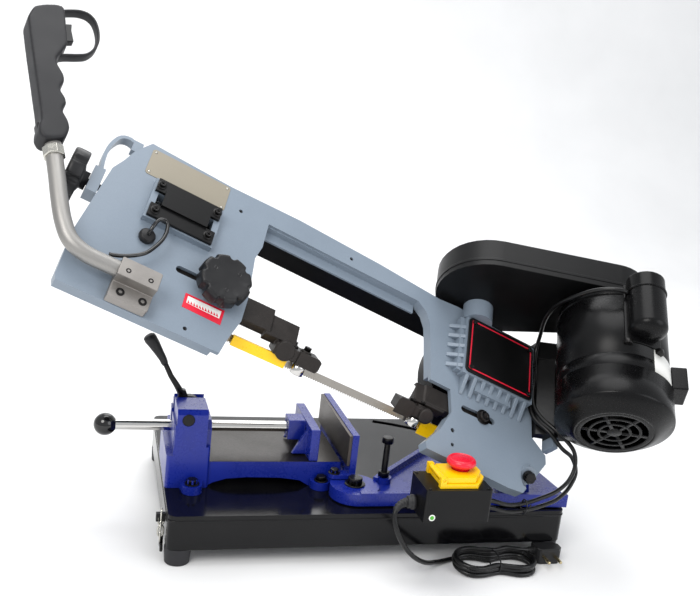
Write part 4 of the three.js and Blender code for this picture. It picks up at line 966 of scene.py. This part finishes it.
lock.prism([(-535.5, 136), (-528, 122), (-523, 124), (-531, 139)], 53, 67)
piece(lock, "grip_catch", "plastic", "bow", bevel=1.2, segments=3)
dress("trigger", "plastic", 1.2, 3)


# ------------------------------------------------------------------ motor, belt drive, capacitor
MU, MN = 341, 181
dress("motor_plate", "hinge", 1.0)
mb = Shape(BOW)
prof = [(0, 61.4), (79.5, 61.4), (80.8, 62.4), (81.4, 66), (81.7, 70), (81.7, 84), (80.9, 84.6), (80.9, 86.4), (81.7, 87)]
prof += [(81.7, 186), (80.9, 186.6), (80.9, 188.4), (81.7, 189), (81.7, 198), (80.4, 203), (76, 205.8), (30, 206), (9.3, 206), (9.3, 209.6), (0, 209.6)]
mb.turned("y", (MU, MN), prof, 112)
piece(mb, "motor_shell", "motor", "bow", ["motor_body"], weighted=False, bevel=0)
fc = Shape(BOW)
fc.turned("y", (MU, MN), [(82.3, 63.8), (84.1, 63.8), (84.1, 19), (83.6, 15.6), (66, 6.2), (62, 2.6), (57, 0.4), (54, 0.2), (54, 2.6), (57.4, 3.2), (63, 8), (82.3, 19.6), (82.3, 63.8)], 88)
for r0_, r1_ in ((0, 11), (20, 24), (34, 38), (47, 55)):
    if r0_ == 0:
        fc.turned("y", (MU, MN), [(0, 0.4), (r1_ - 1, 0.4), (r1_, 1.2), (r1_, 3.4), (0, 3.4)], 48)
    else:
        fc.turned("y", (MU, MN), [(r0_, 0.6), (r0_ + 0.6, 0.3), (r1_ - 0.6, 0.3), (r1_, 0.6), (r1_, 3.2), (r0_, 3.2), (r0_, 0.6)], 72)
for k in range(6):
    a = math.pi * (k + 0.5) / 3
    ca, sa = math.cos(a), math.sin(a)
    w2 = 2.6
    pts = [(MU + ca * r - sa * w, MN + sa * r + ca * w) for r, w in ((9, -w2), (56, -w2), (56, w2), (9, w2))]
    fc.prism(pts, 0.5, 3.2, "y")
piece(fc, "fan_cowl", "motor", "bow", ["fan_cover"], weighted=False)
dress("belt_cover", "black", 2.2, 4)
dress("junction_box", "motor", 2.0, 3)
seam = Shape(BOW)


def obround(c1, r1, c2, r2, seg=40):
    d = Vector((c2[0] - c1[0], c2[1] - c1[1]))
    base_a = math.atan2(d.y, d.x)
    off = math.acos((r1 - r2) / d.length)
    out = []
    for k in range(seg + 1):
        a = base_a + off + (2 * math.pi - 2 * off) * k / seg
        out.append((c1[0] + r1 * math.cos(a), c1[1] + r1 * math.sin(a)))
    for k in range(seg + 1):
        a = base_a - off + 2 * off * k / seg
        out.append((c2[0] + r2 * math.cos(a), c2[1] + r2 * math.sin(a)))
    return out


seam.prism(obround((179, 82), 86.9, (336, 180), 59.9), 224, 229, "y")
seam.prism(obround((179, 82), 80, (336, 180), 53), 262, 265.6, "y")
piece(seam, "belt_cover_seam", "black", "bow", bevel=0.8, segments=3)
bolts = Shape(BOW)
for u, n in ((128, 40), (250, 190), (372, 150), (190, 30)):
    bolts.turned("y", (u, n), [(0, 265.2), (7.5, 265.2), (7.5, 266.6), (0, 266.6)], 24)
    bolts.hexhead("y", (u, n), 5.5, 266.4, 270.8)
piece(bolts, "belt_cover_bolts", "screw", "bow")


def curved(shape, r_in, r_out, a0, a1, s0, s1, seg=18):
    """A plate bent round the motor, from angle a0 to a1 and from s0 to s1."""
    dirs = [(math.cos(math.radians(a0 + (a1 - a0) * k / seg)), math.sin(math.radians(a0 + (a1 - a0) * k / seg))) for k in range(seg + 1)]
    v = [(MU + r * x, s, MN + r * y) for r, s in ((r_out, s0), (r_out, s1), (r_in, s0), (r_in, s1)) for x, y in dirs]
    m = seg + 1
    f = []
    for k in range(seg):
        f += [[k, k + 1, m + k + 1, m + k], [2 * m + k, 3 * m + k, 3 * m + k + 1, 2 * m + k + 1], [k, 2 * m + k, 2 * m + k + 1, k + 1], [m + k, m + k + 1, 3 * m + k + 1, 3 * m + k]]
    f += [[0, m, 3 * m, 2 * m], [seg, 2 * m + seg, 3 * m + seg, m + seg]]
    shape.put(v, f)


capa = Shape(BOW)
prof = [(0, 110.2)] + [(27.8 * math.sin(math.radians(a)), 128 - 17.8 * math.cos(math.radians(a))) for a in range(6, 91, 6)] + [(27.8, 212), (24, 214.5), (0, 214.5)]
capa.turned("y", (323, 271), prof, 56)
capa.turned("y", (323, 271), [(27, 186), (29.2, 186.4), (29.8, 188), (29.2, 189.6), (27, 190)], 56)
curved(capa, 80, 84.6, 81, 122, 104, 205)
piece(capa, "capacitor_shell", "motor", "bow", ["capacitor_housing"], bevel=0.8, angle=40)
feet = Shape(BOW)
for a in (84, 119):
    x, y = math.cos(math.radians(a)), math.sin(math.radians(a))
    feet.turned("y", (MU + 84 * x, MN + 84 * y), [(0, 98), (5.5, 98), (6.5, 99), (6.5, 105.5), (0, 105.5)], 20)
piece(feet, "capacitor_screws", "screw", "bow")
gusset = Shape(BOW)
gusset.prism([(306, 30), (314, 30), (314, 40), (341, 54), (341, 62), (333, 66), (306, 50)], 178, 212, "y")
gusset.prism([(228, 33), (322, 33), (322, 39), (228, 39)], 176, 206, "y")
piece(gusset, "motor_gusset", "black", "bow", bevel=1.0)
lab = Shape(BOW)
curved(lab, 81.2, 82.15, 50, 90, 66, 104)
piece(lab, "bare_motor_label", "white", "bow", weighted=False)

# hinge bolt head and washer on the bow side
hb = Shape(BASE)
hb.turned("y", (530.5, 54.6), [(0, 2.2), (8.2, 2.2), (9.0, 3.2), (9.0, 7.2), (0, 7.2)], 32)
hb.hexhead("y", (530.5, 54.6), 9.2, 2.4, -4.4)
piece(hb, "hinge_bolt_head", "screw", "arm")

# ------------------------------------------------------------------ leftovers take a finish too
finish = {"rubber": "rubber", "steel": "steel", "black_plastic": "plastic", "black_paint": "black", "casting_paint": "casting", "blue_paint": "blue", "dark_steel": "dark", "yellow_plastic": "yellow", "yellow_paint": "guard", "red_plastic": "red", "brass": "bronze"}
shown = {n for o in bpy.data.objects for n in list(o.get("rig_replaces", []))}
slot_of = {n: m["slot"] for m in frame["record"].get("materials", []) for n in m.get("nodes", [])}
for name, ob in nodes.items():
    if name not in shown and not ob.modifiers:
        dress(name, finish.get(slot_of.get(name), "black"), 0.6)


# ------------------------------------------------------------------ floor, light, view
n = Nodes("pale_floor")
n.link(n.mix(n.ramp(n.noise(3, 3), 0.3, 0.7, 0, 1), (0.86, 0.86, 0.86, 1), (0.9, 0.9, 0.9, 1)), n.bsdf.inputs["Base Color"])
n.set(Roughness=0.6, Specular_IOR_Level=0.3)
n.bump(n.noise(90, 3), 0.03, 0.0002)
fm = bpy.data.meshes.new("floor")
fv, ff, rows_n = [], [], 24
profile = [(-3.4, 0.0)] + [(2.2 + 1.4 * math.sin(math.radians(a)), 1.4 - 1.4 * math.cos(math.radians(a))) for a in range(0, 91, 5)] + [(3.6, 5.0)]
for y, z in profile:
    for k in range(rows_n + 1):
        fv.append((-5 + 10 * k / rows_n, y, z))
for j in range(len(profile) - 1):
    for k in range(rows_n):
        a = j * (rows_n + 1) + k
        ff.append((a, a + 1, a + rows_n + 2, a + rows_n + 1))
fm.from_pydata(fv, [], ff)
fm.polygons.foreach_set("use_smooth", [True] * len(fm.polygons))
floor = bpy.data.objects.new("floor", fm)
fm.materials.append(n.m)
bpy.context.collection.objects.link(floor)

world = bpy.data.worlds.new("soft_room")
bpy.context.scene.world = world
world.use_nodes = True
world.node_tree.nodes["Background"].inputs["Color"].default_value = (0.95, 0.97, 1, 1)
world.node_tree.nodes["Background"].inputs["Strength"].default_value = 0.75
for nm, loc, size, power, tint in (("key", (-1.6, -2.0, 2.6), 1.8, 62, (1, 0.98, 0.95)), ("fill", (2.4, -2.2, 1.6), 2.2, 26, (0.95, 0.97, 1)), ("top", (0.3, 0.4, 3.2), 2.4, 46, (1, 1, 1)), ("back", (0.6, 2.8, 2.4), 2.4, 24, (1, 1, 1))):
    d = bpy.data.lights.new(nm, "AREA")
    d.shape, d.size, d.energy, d.color = "DISK", size, power, tint
    o = bpy.data.objects.new(nm, d)
    bpy.context.collection.objects.link(o)
    aim = Vector((0.25, 0.15, 0.25)) - Vector(loc)
    o.rotation_mode = "QUATERNION"
    o.location = loc
    o.rotation_quaternion = aim.to_track_quat("-Z", "Y")
bpy.context.scene.view_settings.view_transform = "Standard"
